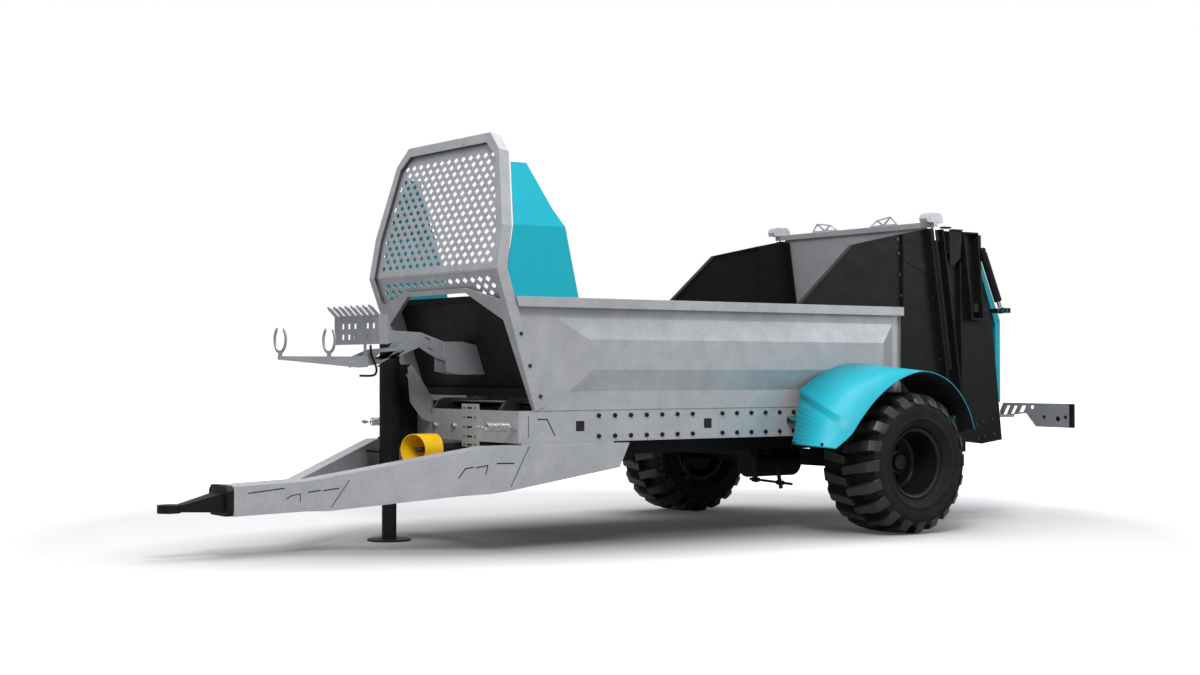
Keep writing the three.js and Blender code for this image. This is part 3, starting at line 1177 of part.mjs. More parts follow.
/** A sheet ruled between two edges of equal length in the planes y = innerY and y = outerY. */
function ruledSheet(innerEdge, outerEdge, innerY, outerY, thickness) {
  const position = [];
  const count = innerEdge.length;
  const under = (edge, i) => {
    const [a, b] = [edge[Math.max(i - 1, 0)], edge[Math.min(i + 1, count - 1)]];
    const share = thickness / Math.hypot(b[0] - a[0], b[1] - a[1]);
    return [edge[i][0] - (b[1] - a[1]) * share, edge[i][1] + (b[0] - a[0]) * share];
  };
  for (let i = 0; i < count; i += 1) {
    const [innerLow, outerLow] = [under(innerEdge, i), under(outerEdge, i)];
    position.push(innerEdge[i][0], innerY, innerEdge[i][1]);
    position.push(outerEdge[i][0], outerY, outerEdge[i][1]);
    position.push(outerLow[0], outerY, outerLow[1]);
    position.push(innerLow[0], innerY, innerLow[1]);
  }
  const index = [];
  const quad = (a, b, c, d) => index.push(a, b, c, a, c, d);
  for (let i = 0; i < count - 1; i += 1) {
    const at = 4 * i;
    quad(at, at + 1, at + 5, at + 4);
    quad(at + 1, at + 2, at + 6, at + 5);
    quad(at + 3, at + 7, at + 6, at + 2); // split along the same diagonal as the top
    quad(at + 3, at, at + 4, at + 7);
  }
  const last = 4 * (count - 1);
  quad(3, 2, 1, 0);
  quad(last, last + 1, last + 2, last + 3);
  const geometry = new THREE.BufferGeometry();
  geometry.setAttribute('position', new THREE.Float32BufferAttribute(position, 3));
  geometry.setIndex(index);
  return solid(geometry);
}

/** A smooth line through points in a plane. */
function smoothLine(points, pieces) {
  const curve = new THREE.CatmullRomCurve3(points.map(([x, z]) => new THREE.Vector3(x, 0, z)));
  return curve.getPoints(pieces).map((point) => [point.x, point.z]);
}

function buildFenders() {
  const pieces = 44;
  const overAxle = (points) => points.map(([x, z]) => [x, z + AXLE_Z]);
  const sheet = ruledSheet(
    smoothLine(overAxle(FENDER_INNER_EDGE), pieces), smoothLine(overAxle(FENDER_OUTER_EDGE), pieces),
    FENDER_INNER_Y, FENDER_OUTER_Y, FENDER_SHEET,
  );
  // the front foot stands clear of the rail
  const notch = crossPlate([
    [FENDER_INNER_Y - 5, AXLE_Z], [FENDER_NOTCH_Y, AXLE_Z], [FENDER_NOTCH_Y, AXLE_Z + 420],
    [FENDER_INNER_Y - 5, AXLE_Z + 485],
  ], 420, 720);
  const root = RAIL_HALF_WIDTH + GAP;
  const [armLow, armHigh] = [RAIL_Z + 87, RAIL_Z + 127];
  const frontArm = levelPlate([
    [540, root], [610, root], [618, 852], [621, 1000], [612, 1100], [585, 1200], [540, 1200],
  ], armLow, armHigh);
  const rearArm = levelPlate(
    [[-552, root], [-480, root], [-480, 1200], [-497, 1200], [-552, root + 60]], armLow, armHigh,
  );
  addPair('fender', join(cut(sheet, notch), frontArm, rearArm), TEAL);
}

function buildLamps() {
  const round = ([y, drop, radius]) => Array.from({ length: SIDES }, (_, i) => {
    const turn = (i * 2 * Math.PI) / SIDES;
    return [y + radius * Math.cos(turn), drop + radius * Math.sin(turn)];
  });
  const fromTop = (points) => points.map(([y, drop]) => [y, LAMP_TOP - drop]);
  const holes = [...LAMP_WINDOWS, ...LAMP_HOLES.map(round)].map((points) => fromTop(points).reverse());
  const board = crossPlate(fromTop(LAMP_OUTLINE), LAMP_X, LAMP_X + LAMP_SHEET, holes);
  const arm = box(
    LAMP_X + LAMP_SHEET - 1, LAMP_X + 200, UNIT_INNER - 8, UNIT_INNER - GAP, LAMP_TOP - 104, LAMP_TOP - 84,
  );
  addPair('lamp_board', join(board, arm), GALVANISED);
}

function buildHoseArm() {
  const inner = ARM_OUTER - ARM_SHEET;
  const sidePair = (points, y0, y1, windows = []) => both((side) => sidePlate(
    points, Math.min(side * y0, side * y1), Math.max(side * y0, side * y1), windows,
  ));
  const arms = sidePair(ARM_OUTLINE, inner, ARM_OUTER, ARM_WINDOWS);
  // bracket bolted to the front wall
  const wallFace = (z) => wallX(z) + WALL_SHEET + GAP;
  const [low, high] = ARM_HEAD;
  const cheeks = sidePair([
    [wallFace(low), low], [2729, low], [2821, low + 20], [2822, high], [2702, high],
    [wallFace(high - 20), high - 20],
  ], ARM_HEAD_OUTER - ARM_SHEET, ARM_HEAD_OUTER);
  const backPlate = sidePlate([
    [wallFace(low), low], [wallFace(low) + 8, low], [wallFace(high - 20) + 8, high - 20],
    [wallFace(high - 20), high - 20],
  ], -ARM_HEAD_OUTER, ARM_HEAD_OUTER);
  const frontPlate = box(2730, 2740, 4 - ARM_HEAD_OUTER, ARM_HEAD_OUTER - 4, low + 4, high - 4);
  add('hose_arm', join(arms, cheeks, backPlate, frontPlate), GALVANISED);
}

function buildHoseRack() {
  const square = (y, z) => [[y - 15, z - 16], [y + 15, z - 16], [y + 15, z + 16], [y - 15, z + 16]];
  const holes = COMB_HOLE_ZS.flatMap((z) => COMB_HOLE_YS.map((y) => square(y, z)));
  const comb = crossPlate([
    [COMB_RIGHT, COMB_BOTTOM], [COMB_LEFT, COMB_BOTTOM], [COMB_LEFT, COMB_TOP], [COMB_RIGHT, COMB_TOP],
  ], COMB_X, COMB_X + COMB_SHEET, holes);
  const cheek = box(COMB_X - 55, COMB_X + 1, COMB_LEFT - COMB_SHEET, COMB_LEFT, COMB_BOTTOM, COMB_TOP);
  const tip = Math.SQRT1_2; // the fingers are bent forward by 45 degrees
  const width = 48;
  const length = 84;
  const pitch = (COMB_LEFT - COMB_RIGHT - width) / (FINGERS - 1);
  const finger = [
    [0, 0], [width, 0], [width, length - 14], [width - 14, length], [14, length], [0, length - 14],
  ];
  const fingers = Array.from({ length: FINGERS }, (_, i) => plate(
    finger.map(([y, s]) => [COMB_RIGHT + i * pitch + y, s]),
    COMB_SHEET, [COMB_X + 1, 0, COMB_TOP - 2], [0, 1, 0], [tip, 0, tip],
  ));
  const [barIn, barOut] = [ARM_OUTER + GAP, ARM_OUTER + GAP + HOSE_BAR_WIDTH];
  const [root, bend, end] = HOSE_BAR;
  const rail = sidePlate([
    [root, HOSE_BAR_TOP - 63], [bend, HOSE_BAR_TOP - 66], [end, HOSE_BAR_TOP - 20], [end, HOSE_BAR_TOP],
    [root, HOSE_BAR_TOP],
  ], barIn, barOut);
  const hanger = box(COMB_X, COMB_X + COMB_SHEET, barIn, barOut, HOSE_BAR_TOP - 10, COMB_BOTTOM + 1);
  const middle = (barIn + barOut) / 2;
  const ringZ = HOSE_BAR_TOP + 15 + CLIP_RADIUS;
  const inside = CLIP_RADIUS - CLIP_WIRE;
  const clips = CLIP_XS.map((x) => {
    const ring = pipe([x - 5, middle, ringZ], [x + 5, middle, ringZ], CLIP_RADIUS, inside, 24);
    const mouth = box(x - 6, x + 6, middle - 44, middle + 44, ringZ + 40, ringZ + CLIP_RADIUS + 2);
    const stem = box(x - 6, x + 6, middle - 15, middle + 15, HOSE_BAR_TOP - 1, HOSE_BAR_TOP + 24);
    return join(cut(ring, mouth), stem);
  });
  add('hose_rack', join(comb, cheek, fingers, rail, hanger, clips), GALVANISED);
}

function buildAirTank() {
  const z = FRAME_BOTTOM - 98;
  const x = 380;
  const y = 300;
  const tank = bar([x - 210, y, z], [x + 210, y, z], 98, 20);
  const straps = [x - 130, x + 100].map((start) =>
    box(start, start + 30, y - 40, FRAME_INNER - GAP, z + 60, z + 130));
  add('air_tank', join(tank, straps), BLACK);
}

// ---------------------------------------------------------------- the machine

buildWheels();
buildAxle();
buildAxleFrame();
buildChassis();
const drawbar = buildDrawbar();
buildTowEye();
buildJack(drawbar);
buildHopperSides();
buildFloor();
buildFrontWall();
buildGuard();
buildScreen();
buildSidePanels();
buildRearExtension();
buildUnitSides();
buildTopBeam();
buildGate();
buildGateRams();
buildHood();
buildHoodRams();
buildBeaters();
buildDiscs();
buildTable();
buildScraper();
buildDriveline(drawbar);
buildFenders();
buildLamps();
buildHoseArm();
buildHoseRack();
buildAirTank();

const frontTip = EYE_X + EYE_RADIUS;
const rearTip = DISC_X - DISC_RADIUS;
machine.position.x = -(frontTip + rearTip) / 2;

export default spreader;
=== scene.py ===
"""Looks of a towed manure spreader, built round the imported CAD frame.

Every place is in metres in the row frame: +X forward, +Y left, +Z up. Many sizes are easier to
state from the axle, so `Layout.at` takes points whose X is counted from the axle.
"""

import json
import logging
import math
from dataclasses import dataclass
from enum import Enum
from typing import Callable, Iterable, Sequence, Union

import bmesh
import bpy
import numpy as np
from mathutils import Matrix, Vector
from mathutils.geometry import delaunay_2d_cdt

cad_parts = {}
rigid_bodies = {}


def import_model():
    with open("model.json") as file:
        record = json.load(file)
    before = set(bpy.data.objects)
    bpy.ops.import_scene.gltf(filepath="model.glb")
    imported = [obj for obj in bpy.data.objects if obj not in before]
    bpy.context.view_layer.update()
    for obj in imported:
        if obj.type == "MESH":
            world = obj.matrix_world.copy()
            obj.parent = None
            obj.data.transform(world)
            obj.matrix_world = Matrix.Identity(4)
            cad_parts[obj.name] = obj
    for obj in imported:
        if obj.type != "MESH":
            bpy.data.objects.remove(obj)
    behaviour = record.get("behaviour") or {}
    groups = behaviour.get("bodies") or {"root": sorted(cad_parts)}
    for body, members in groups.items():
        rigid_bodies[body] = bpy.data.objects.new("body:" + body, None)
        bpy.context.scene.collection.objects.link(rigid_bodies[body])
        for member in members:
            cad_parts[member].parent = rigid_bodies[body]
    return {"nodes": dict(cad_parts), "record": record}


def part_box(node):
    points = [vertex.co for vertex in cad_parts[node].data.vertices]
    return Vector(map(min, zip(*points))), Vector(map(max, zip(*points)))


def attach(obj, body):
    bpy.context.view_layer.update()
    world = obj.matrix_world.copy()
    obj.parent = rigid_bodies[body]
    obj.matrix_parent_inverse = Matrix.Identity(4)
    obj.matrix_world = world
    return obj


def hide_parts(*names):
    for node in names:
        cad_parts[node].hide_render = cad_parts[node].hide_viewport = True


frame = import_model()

log = logging.getLogger("spreader")

Point = Sequence[float]
Outline = Sequence[Point]
Socket = bpy.types.NodeSocket
Feed = Union[Socket, float, Sequence[float], None]
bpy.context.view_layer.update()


class Slot(str, Enum):
    """Material slots of the record, passed to the pieces' makers but not put on the pieces."""

    TYRE = "tyre"
    YELLOW = "yellow_plastic"
    ZINC = "galvanised"
    TEAL = "teal_paint"
    BLACK = "black_paint"


# ------------------------------------------------------------------------------ layout


@dataclass(frozen=True)
class Layout:
    """Where the main faces of the frame are, read from the CAD nodes."""

    axle_x: float
    rail_y: float

    def at(self, x: float, y: float, z: float) -> np.ndarray:
        """A point whose X is counted from the axle."""
        return np.array([x + self.axle_x, y, z])


def read_layout() -> Layout:
    """Reads the layout from the boxes of the CAD nodes."""
    low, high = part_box("tyre_left")
    return Layout(axle_x=(low.x + high.x) / 2, rail_y=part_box("chassis_frame")[1].y)


LAY = read_layout()


# ------------------------------------------------------------------------------ shader graphs


class Graph:
    """Short calls that build a shader node tree."""

    def __init__(self, tree: bpy.types.NodeTree) -> None:
        """Works on the given tree."""
        self.tree = tree

    def add(self, kind: str, **settings: object) -> bpy.types.Node:
        """Adds a node and sets its properties.

        Args:
            kind: the node's type.
            **settings: its properties by name.

        Returns:
            The node.
        """
        node = self.tree.nodes.new(kind)
        for key, value in settings.items():
            setattr(node, key, value)
        return node

    def feed(self, socket: Socket, value: Feed) -> None:
        """Links a socket, or sets a plain value.

        Args:
            socket: the input to fill.
            value: a socket to link, a plain value to set, or None to leave the input alone.
        """
        if isinstance(value, Socket):
            self.tree.links.new(value, socket)
        elif value is not None:
            socket.default_value = value

    def math(self, operation: str, a: Feed, b: Feed = None, clamp: bool = False) -> Socket:
        """Adds a math node.

        Args:
            operation: what it works out.
            a: its first value.
            b: its second value.
            clamp: keeps the result between 0 and 1.

        Returns:
            The result.
        """
        node = self.add("ShaderNodeMath", operation=operation, use_clamp=clamp)
        self.feed(node.inputs[0], a)
        self.feed(node.inputs[1], b)
        return node.outputs[0]

    def noise(
        self, vector: Socket, scale: float, detail: float = 4.0, roughness: float = 0.55
    ) -> Socket:
        """Adds a noise texture.

        Args:
            vector: where it is read.
            scale: how fine it is, in waves to a metre.
            detail: how many finer layers it has.
            roughness: the strength of the finer layers.

        Returns:
            Noise around 0.5.
        """
        node = self.add("ShaderNodeTexNoise")
        self.feed(node.inputs["Vector"], vector)
        self.feed(node.inputs["Scale"], scale)
        self.feed(node.inputs["Detail"], detail)
        self.feed(node.inputs["Roughness"], roughness)
        return node.outputs["Fac"]

    def cells(self, vector: Socket, scale: float) -> Socket:
        """Adds a Voronoi texture.

        Args:
            vector: where it is read.
            scale: how many cells there are to a metre.

        Returns:
            A random grey for each cell.
        """
        node = self.add("ShaderNodeTexVoronoi")
        self.feed(node.inputs["Vector"], vector)
        self.feed(node.inputs["Scale"], scale)
        split = self.add("ShaderNodeSeparateColor")
        self.feed(split.inputs[0], node.outputs["Color"])
        return split.outputs[0]

    def span(
        self, value: Feed, low: float, high: float, to_low: float = 0.0, to_high: float = 1.0
    ) -> Socket:
        """Maps low..high to to_low..to_high.

        Args:
            value: the value to map.
            low: the value that becomes to_low.
            high: the value that becomes to_high.
            to_low: the result at low and beyond it.
            to_high: the result at high and beyond it.

        Returns:
            The mapped value, clamped to the new range.
        """
        node = self.add("ShaderNodeMapRange")
        for name, number in zip(
            ("Value", "From Min", "From Max", "To Min", "To Max"),
            (value, low, high, to_low, to_high),
        ):
            self.feed(node.inputs[name], number)
        return node.outputs[0]

    def mix(self, share: Feed, a: Feed, b: Feed) -> Socket:
        """Adds a colour mix.

        Args:
            share: 0 for the first colour, 1 for the second.
            a: the first colour.
            b: the second colour.

        Returns:
            A colour between a and b.
        """
        node = self.add("ShaderNodeMix", data_type="RGBA")
        self.feed(node.inputs["Factor"], share)
        self.feed(node.inputs[6], a if isinstance(a, Socket) else (*a, 1.0))
        self.feed(node.inputs[7], b if isinstance(b, Socket) else (*b, 1.0))
        return node.outputs[2]


def node_group(name: str, outputs: Sequence[str], build: Callable) -> bpy.types.NodeTree:
    """Makes a node group with a Vector input and float outputs.

    Args:
        name: the group's name.
        outputs: names of its outputs.
        build: takes the graph and the vector socket and returns one socket per output.

    Returns:
        The node group.
    """
    tree = bpy.data.node_groups.new(name, "ShaderNodeTree")
    tree.interface.new_socket("Vector", in_out="INPUT", socket_type="NodeSocketVector")
    for output in outputs:
        tree.interface.new_socket(output, in_out="OUTPUT", socket_type="NodeSocketFloat")
    graph = Graph(tree)
    entry = graph.add("NodeGroupInput")
    leave = graph.add("NodeGroupOutput")
    for socket, value in zip(leave.inputs, build(graph, entry.outputs[0])):
        graph.feed(socket, value)
    return tree


CLOUD_SCALE = 1.9
BLOTCH_SCALE = 8.5
CRYSTAL_SCALE = 60.0
GRAIN_SCALE = 140.0


def build_zinc_group(graph: Graph, vector: Socket) -> tuple[Socket, Socket]:
    """Hot-dip zinc: soft clouds, hand-sized blotches and small crystals.

    Args:
        graph: the group's graph.
        vector: where the pattern is read.

    Returns:
        The tone from 0 to 1, and the height of the relief.
    """
    clouds = graph.noise(vector, CLOUD_SCALE, 3.0)
    blotches = graph.noise(vector, BLOTCH_SCALE, 4.0, 0.5)
    crystals = graph.cells(vector, CRYSTAL_SCALE)
    tone = graph.math("MULTIPLY", clouds, 0.5)
    tone = graph.math("ADD", tone, graph.math("MULTIPLY", blotches, 0.55))
    tone = graph.math("ADD", tone, graph.math("MULTIPLY", crystals, 0.1))
    grain = graph.noise(vector, GRAIN_SCALE, 2.0)
    height = graph.math("ADD", graph.math("MULTIPLY", crystals, 0.3), grain)
    return graph.span(tone, 0.38, 0.78), height


DUST_TOP = 0.9
PATCH_SCALE = 5.0


def build_grime_group(graph: Graph, vector: Socket) -> tuple[Socket]:
    """Dust in patches that thins out with height and ends at DUST_TOP.

    Args:
        graph: the group's graph.
        vector: where the pattern is read.

    Returns:
        How much dust there is, from 0 to 1.
    """
    split = graph.add("ShaderNodeSeparateXYZ")
    graph.feed(split.inputs[0], vector)
    low = graph.span(split.outputs[2], 0.0, DUST_TOP, 1.0, 0.0)
    patches = graph.span(graph.noise(vector, PATCH_SCALE, 8.0, 0.7), 0.42, 0.72)
    return (graph.math("MULTIPLY", low, patches),)


@dataclass(frozen=True)
class Finish:
    """One painted, plated or moulded surface.

    dark and light are the two ends of its colour variation, roughness its range, bump the depth
    of its relief in metres, and grime the share of dust on it near the ground.
    """

    name: str
    dark: tuple[float, float, float]
    light: tuple[float, float, float]
    roughness: tuple[float, float] = (0.4, 0.5)
    metallic: float = 0.0
    bump: float = 0.0
    coat: float = 0.0
    grime: float = 0.0
    zinc: bool = False
    specular: float = 0.5


DUST = (0.16, 0.14, 0.115)
DUST_ROUGHNESS = 0.3
COAT_ROUGHNESS = 0.08
BUMP_STRENGTH = 0.5
TONE_SCALE = 9.0
RELIEF_SCALE = 420.0

ZINC = Finish(
    "zinc", (0.37, 0.378, 0.395), (0.50, 0.508, 0.525), (0.36, 0.5),
    metallic=0.38, bump=0.0003, zinc=True,
)
ZINC_FINE = Finish(
    "zinc_fittings", (0.29, 0.30, 0.32), (0.42, 0.43, 0.45), (0.32, 0.46),
    metallic=0.45, bump=0.0002, zinc=True,
)
# Zinc darkened as painted shade, for the window's returns; the folded seams' dark lines use it too.
DARK_ZINC = Finish(
    "zinc_in_shade", (0.05, 0.052, 0.06), (0.08, 0.083, 0.092), (0.5, 0.6),
    metallic=0.2, bump=0.0002,
)
BLACK = Finish(
    "satin_black", (0.0068, 0.0069, 0.007), (0.011, 0.0112, 0.0113), (0.4, 0.52),
    bump=0.0002, grime=0.02, specular=0.15,
)
RIM_BLACK = Finish(
    "wheel_black", (0.006, 0.006, 0.006), (0.01, 0.01, 0.0105), (0.36, 0.45),
    bump=0.0002, grime=0.02, specular=0.3,
)
TEAL = Finish(
    "teal_paint", (0.0085, 0.35, 0.445), (0.0105, 0.38, 0.48), (0.36, 0.44),
    bump=0.0001, specular=0.28,
)
# The carcass is darker than the lugs as painted shade in the gaps, and the lugs paler as painted
# highlight.
RUBBER = Finish(
    "tyre_rubber", (0.005, 0.005, 0.0051), (0.01, 0.01, 0.0101), (0.5, 0.72),
    bump=0.0006, grime=0.03, specular=0.2,
)
TREAD = Finish(
    "tyre_tread", (0.012, 0.012, 0.0123), (0.03, 0.03, 0.0305), (0.34, 0.5),
    bump=0.0004, grime=0.05, specular=0.55,
)
YELLOW = Finish(
    "yellow_plastic", (0.80, 0.46, 0.004), (0.88, 0.53, 0.006), (0.3, 0.38),
    bump=0.0001, coat=0.2,
)
STEEL = Finish(
    "worn_steel", (0.055, 0.05, 0.047), (0.15, 0.145, 0.14), (0.36, 0.62),
    metallic=0.75, bump=0.0005, grime=0.2,
)
STEEL_DARK = Finish(
    "dark_steel_bolt", (0.03, 0.03, 0.031), (0.07, 0.07, 0.072), (0.3, 0.45), metallic=0.6
)
CHROME = Finish("hard_chrome", (0.62, 0.63, 0.65), (0.7, 0.71, 0.72), (0.08, 0.14), metallic=1.0)
BOLT = Finish(
    "plated_bolt", (0.42, 0.42, 0.41), (0.6, 0.6, 0.58), (0.25, 0.4), metallic=0.9, bump=0.0001
)
# Painted shade: near-black for holes, slots and undersides that lie in shadow.
SHADE = Finish("shadow_gap", (0.004, 0.004, 0.004), (0.006, 0.006, 0.006), (0.8, 0.9))
RED_LENS = Finish("red_lens", (0.42, 0.004, 0.004), (0.5, 0.006, 0.006), (0.1, 0.14), coat=0.6)


class Paints:
    """Makes each finish's material once."""

    def __init__(self) -> None:
        """Makes the node groups that the finishes share."""
        self.zinc = node_group("zinc_spangle", ("Tone", "Height"), build_zinc_group)
        self.grime = node_group("ground_grime", ("Dust",), build_grime_group)
        self.made: dict[str, bpy.types.Material] = {}

    def of(self, finish: Finish) -> bpy.types.Material:
        """The material of a finish, made when it is first asked for.

        Args:
            finish: the finish.

        Returns:
            Its material.
        """
        if finish.name not in self.made:
            self.made[finish.name] = self.make(finish)
        return self.made[finish.name]

    def make(self, finish: Finish) -> bpy.types.Material:
        """Builds a material: colour and roughness follow one tone, dust lies over both.

        Args:
            finish: the finish to make.

        Returns:
            The new material.
        """
        material = bpy.data.materials.new(finish.name)
        material.use_nodes = True
        graph = Graph(material.node_tree)
        surface = material.node_tree.nodes["Principled BSDF"]
        where = graph.add("ShaderNodeTexCoord").outputs["Object"]
        if finish.zinc:
            group = graph.add("ShaderNodeGroup", node_tree=self.zinc)
            graph.feed(group.inputs[0], where)
            tone, height = group.outputs
        else:
            tone = graph.span(graph.noise(where, TONE_SCALE, 5.0, 0.6), 0.3, 0.7)
            height = graph.noise(where, RELIEF_SCALE, 2.0)
        colour = graph.mix(tone, finish.dark, finish.light)
        rough = graph.span(tone, 0.0, 1.0, finish.roughness[1], finish.roughness[0])
        if finish.grime:
            group = graph.add("ShaderNodeGroup", node_tree=self.grime)
            graph.feed(group.inputs[0], where)
            dust = graph.math("MULTIPLY", group.outputs[0], finish.grime, clamp=True)
            colour = graph.mix(dust, colour, DUST)
            rough = graph.math("ADD", rough, graph.math("MULTIPLY", dust, DUST_ROUGHNESS))
        graph.feed(surface.inputs["Base Color"], colour)
        graph.feed(surface.inputs["Roughness"], rough)
        surface.inputs["Metallic"].default_value = finish.metallic
        surface.inputs["Specular IOR Level"].default_value = finish.specular
        surface.inputs["Coat Weight"].default_value = finish.coat
        surface.inputs["Coat Roughness"].default_value = COAT_ROUGHNESS
        if finish.bump:
            bump = graph.add("ShaderNodeBump")
            bump.inputs["Strength"].default_value = BUMP_STRENGTH
            bump.inputs["Distance"].default_value = finish.bump
            graph.feed(bump.inputs["Height"], height)
            graph.feed(surface.inputs["Normal"], bump.outputs[0])
        return material


PAINTS = Paints()


# ------------------------------------------------------------------------------ mesh building


def unit(vector: Point) -> np.ndarray:
    """The vector at length 1."""
    vector = np.asarray(vector, float)
    return vector / np.linalg.norm(vector)


NEAR_UPRIGHT = 0.9


def square_to(direction: Point) -> tuple[np.ndarray, np.ndarray]:
    """Two directions square to the given one and to each other, right-handed with it.

    Args:
        direction: the given direction, of any length.

    Returns:
        The two directions at length 1.
    """
    normal = unit(direction)
    upright = abs(normal[2]) >= NEAR_UPRIGHT
    helper = np.array([1.0, 0.0, 0.0]) if upright else np.array([0.0, 0.0, 1.0])
    first = unit(np.cross(helper, normal))
    return first, np.cross(normal, first)


class Shape:
    """Vertices and faces of a piece that grows part by part."""

    def __init__(self) -> None:
        """Starts with nothing in it."""
        self.vertices: list[np.ndarray] = []
        self.faces: list[list[int]] = []
        self.count = 0

    def put(self, vertices: np.ndarray, faces: Iterable[Sequence[int]]) -> "Shape":
        """Adds vertices and faces.

        Args:
            vertices: the new points.
            faces: corner numbers that count from the first new point.

        Returns:
            The shape itself.
        """
        vertices = np.asarray(vertices, float).reshape(-1, 3)
        self.vertices.append(vertices)
        self.faces.extend([[index + self.count for index in face] for face in faces])
        self.count += len(vertices)
        return self

    def grid(self, points: np.ndarray, wrap_u: bool = False, wrap_v: bool = False) -> "Shape":
        """A sheet of quads through points[i, j]; its normal is along d/di x d/dj.

        Args:
            points: the grid of points.
            wrap_u: joins the last row to the first.
            wrap_v: joins the last column to the first.

        Returns:
            The shape itself.
        """
        rows, columns = points.shape[:2]
        faces = []
        for i in range(rows if wrap_u else rows - 1):
            for j in range(columns if wrap_v else columns - 1):
                a, b = i * columns + j, ((i + 1) % rows) * columns + j
                c = ((i + 1) % rows) * columns + (j + 1) % columns
                d = i * columns + (j + 1) % columns
                faces.append([a, b, c, d])
        return self.put(points, faces)

    def prism(self, outline: Outline, depth: Point) -> "Shape":
        """A flat outline pushed along depth; the outline turns right-handed about depth.

        Args:
            outline: its corners.
            depth: how far and which way it is pushed.

        Returns:
            The shape itself.
        """
        outline = np.asarray(outline, float)
        n = len(outline)
        points = np.vstack([outline, outline + np.asarray(depth, float)])
        sides = [[i, (i + 1) % n, (i + 1) % n + n, i + n] for i in range(n)]
        return self.put(points, [list(range(n))[::-1], list(range(n, 2 * n)), *sides])

    def block(self, low: Point, high: Point) -> "Shape":
        """A box.

        Args:
            low: its lowest corner.
            high: its highest corner.

        Returns:
            The shape itself.
        """
        (x0, y0, z0), (x1, y1, z1) = low, high
        outline = [(x0, y0, z0), (x1, y0, z0), (x1, y1, z0), (x0, y1, z0)]
        return self.prism(outline, (0, 0, z1 - z0))

    def lathe(self, profile: Outline, origin: Point, axis: Point, segments: int = 48) -> "Shape":
        """A closed profile of (radius, height) turned about an axis.

        The vertex at angle a is origin + radius (u cos a + v sin a) + height axis. The profile
        runs so that height falls on its outer side.

        Args:
            profile: pairs of radius and height.
            origin: where height is 0 on the axis.
            axis: the axis's direction.
            segments: steps round the axis.

        Returns:
            The shape itself.
        """
        profile = np.asarray(profile, float)
        u, v = square_to(axis)
        w = unit(axis)
        turn = np.linspace(0, 2 * math.pi, segments, endpoint=False)
        ring = np.outer(np.cos(turn), u) + np.outer(np.sin(turn), v)
        points = profile[:, None, 0, None] * ring[None] + profile[:, None, 1, None] * w
        return self.grid(np.asarray(origin, float) + points, wrap_u=True, wrap_v=True)

    def tube(self, path: Outline, radius: float, sides: int = 10, closed: bool = False) -> "Shape":
        """A round bar along a path, with flat ends unless it is closed.

        Each ring is path + radius (side cos a + other sin a), with side carried along the path.

        Args:
            path: the points of its middle line.
            radius: its radius.
            sides: faces round it.
            closed: joins its end to its start.

        Returns:
            The shape itself.
        """
        path = np.asarray(path, float)
        ahead = np.roll(path, -1, 0) - np.roll(path, 1, 0)
        if not closed:
            ahead[0], ahead[-1] = path[1] - path[0], path[-1] - path[-2]
        ahead /= np.linalg.norm(ahead, axis=1)[:, None]
        side = square_to(ahead[0])[0]
        turn = np.linspace(0, 2 * math.pi, sides, endpoint=False)
        rings = []
        for point, tangent in zip(path, ahead):
            side = unit(side - tangent * side.dot(tangent))
            other = np.cross(tangent, side)
            ring = np.outer(np.cos(turn), side) + np.outer(np.sin(turn), other)
            rings.append(point + radius * ring)
        points = np.array(rings)
        start = self.count
        self.grid(points[:, ::-1], wrap_u=closed, wrap_v=True)
        if not closed:
            last = start + (len(path) - 1) * sides
            self.faces.append([start + i for i in range(sides)])
            self.faces.append([last + i for i in range(sides)][::-1])
        return self

    def rod(self, a: Point, b: Point, radius: float, sides: int = 20) -> "Shape":
        """A straight round bar."""
        return self.tube(np.array([a, b]), radius, sides)

    def bolt(self, foot: Point, normal: Point, size: float) -> "Shape":
        """A hexagon head on a round washer.

        Args:
            foot: the middle of the face that it stands on.
            normal: the way that it stands out.
            size: its width; its height is half of that.

        Returns:
            The shape itself.
        """
        u, v = square_to(normal)
        foot, normal = np.asarray(foot, float), unit(normal)
        for radius, low, high, sides in ((0.62, 0.0, 0.12, 16), (0.55, 0.12, 0.5, 6)):
            turn = np.linspace(0, 2 * math.pi, sides, endpoint=False)
            ring = size * radius * (np.outer(np.cos(turn), u) + np.outer(np.sin(turn), v))
            self.prism(foot + ring + normal * low * size, normal * (high - low) * size)
        return self

    def mirrored(self) -> "Shape":
        """Adds the same again on the other side of the middle.

        Returns:
            The shape itself.
        """
        vertices = np.vstack(self.vertices) * (1, -1, 1)
        self.put(vertices, [face[::-1] for face in list(self.faces)])
        return self

    def make(
        self,
        name: str,
        finish: Finish,
        body: str,
        slot: Slot,
        stands_for: Sequence[str] = (),
        bevel: float = 0.0,
        smooth: float = 35.0,
    ) -> bpy.types.Object:
        """Turns the shape into a piece.

        Args:
            name: the piece's name.
            finish: its surface.
            body: the body that it rides on.
            slot: the record's material slot; not used.
            stands_for: CAD nodes that it replaces.
            bevel: width of its rounded edges, or 0.
            smooth: edges flatter than this many degrees look round.

        Returns:
            The Blender object.
        """
        mesh = bpy.data.meshes.new(name)
        mesh.from_pydata(np.vstack(self.vertices).tolist(), [], self.faces)
        mesh.validate()
        return finish_piece(mesh, name, finish, body, stands_for, bevel, smooth)


FLAT = 9.0
BEVEL_FROM = 28.0
BEVEL_SEGMENTS = 2


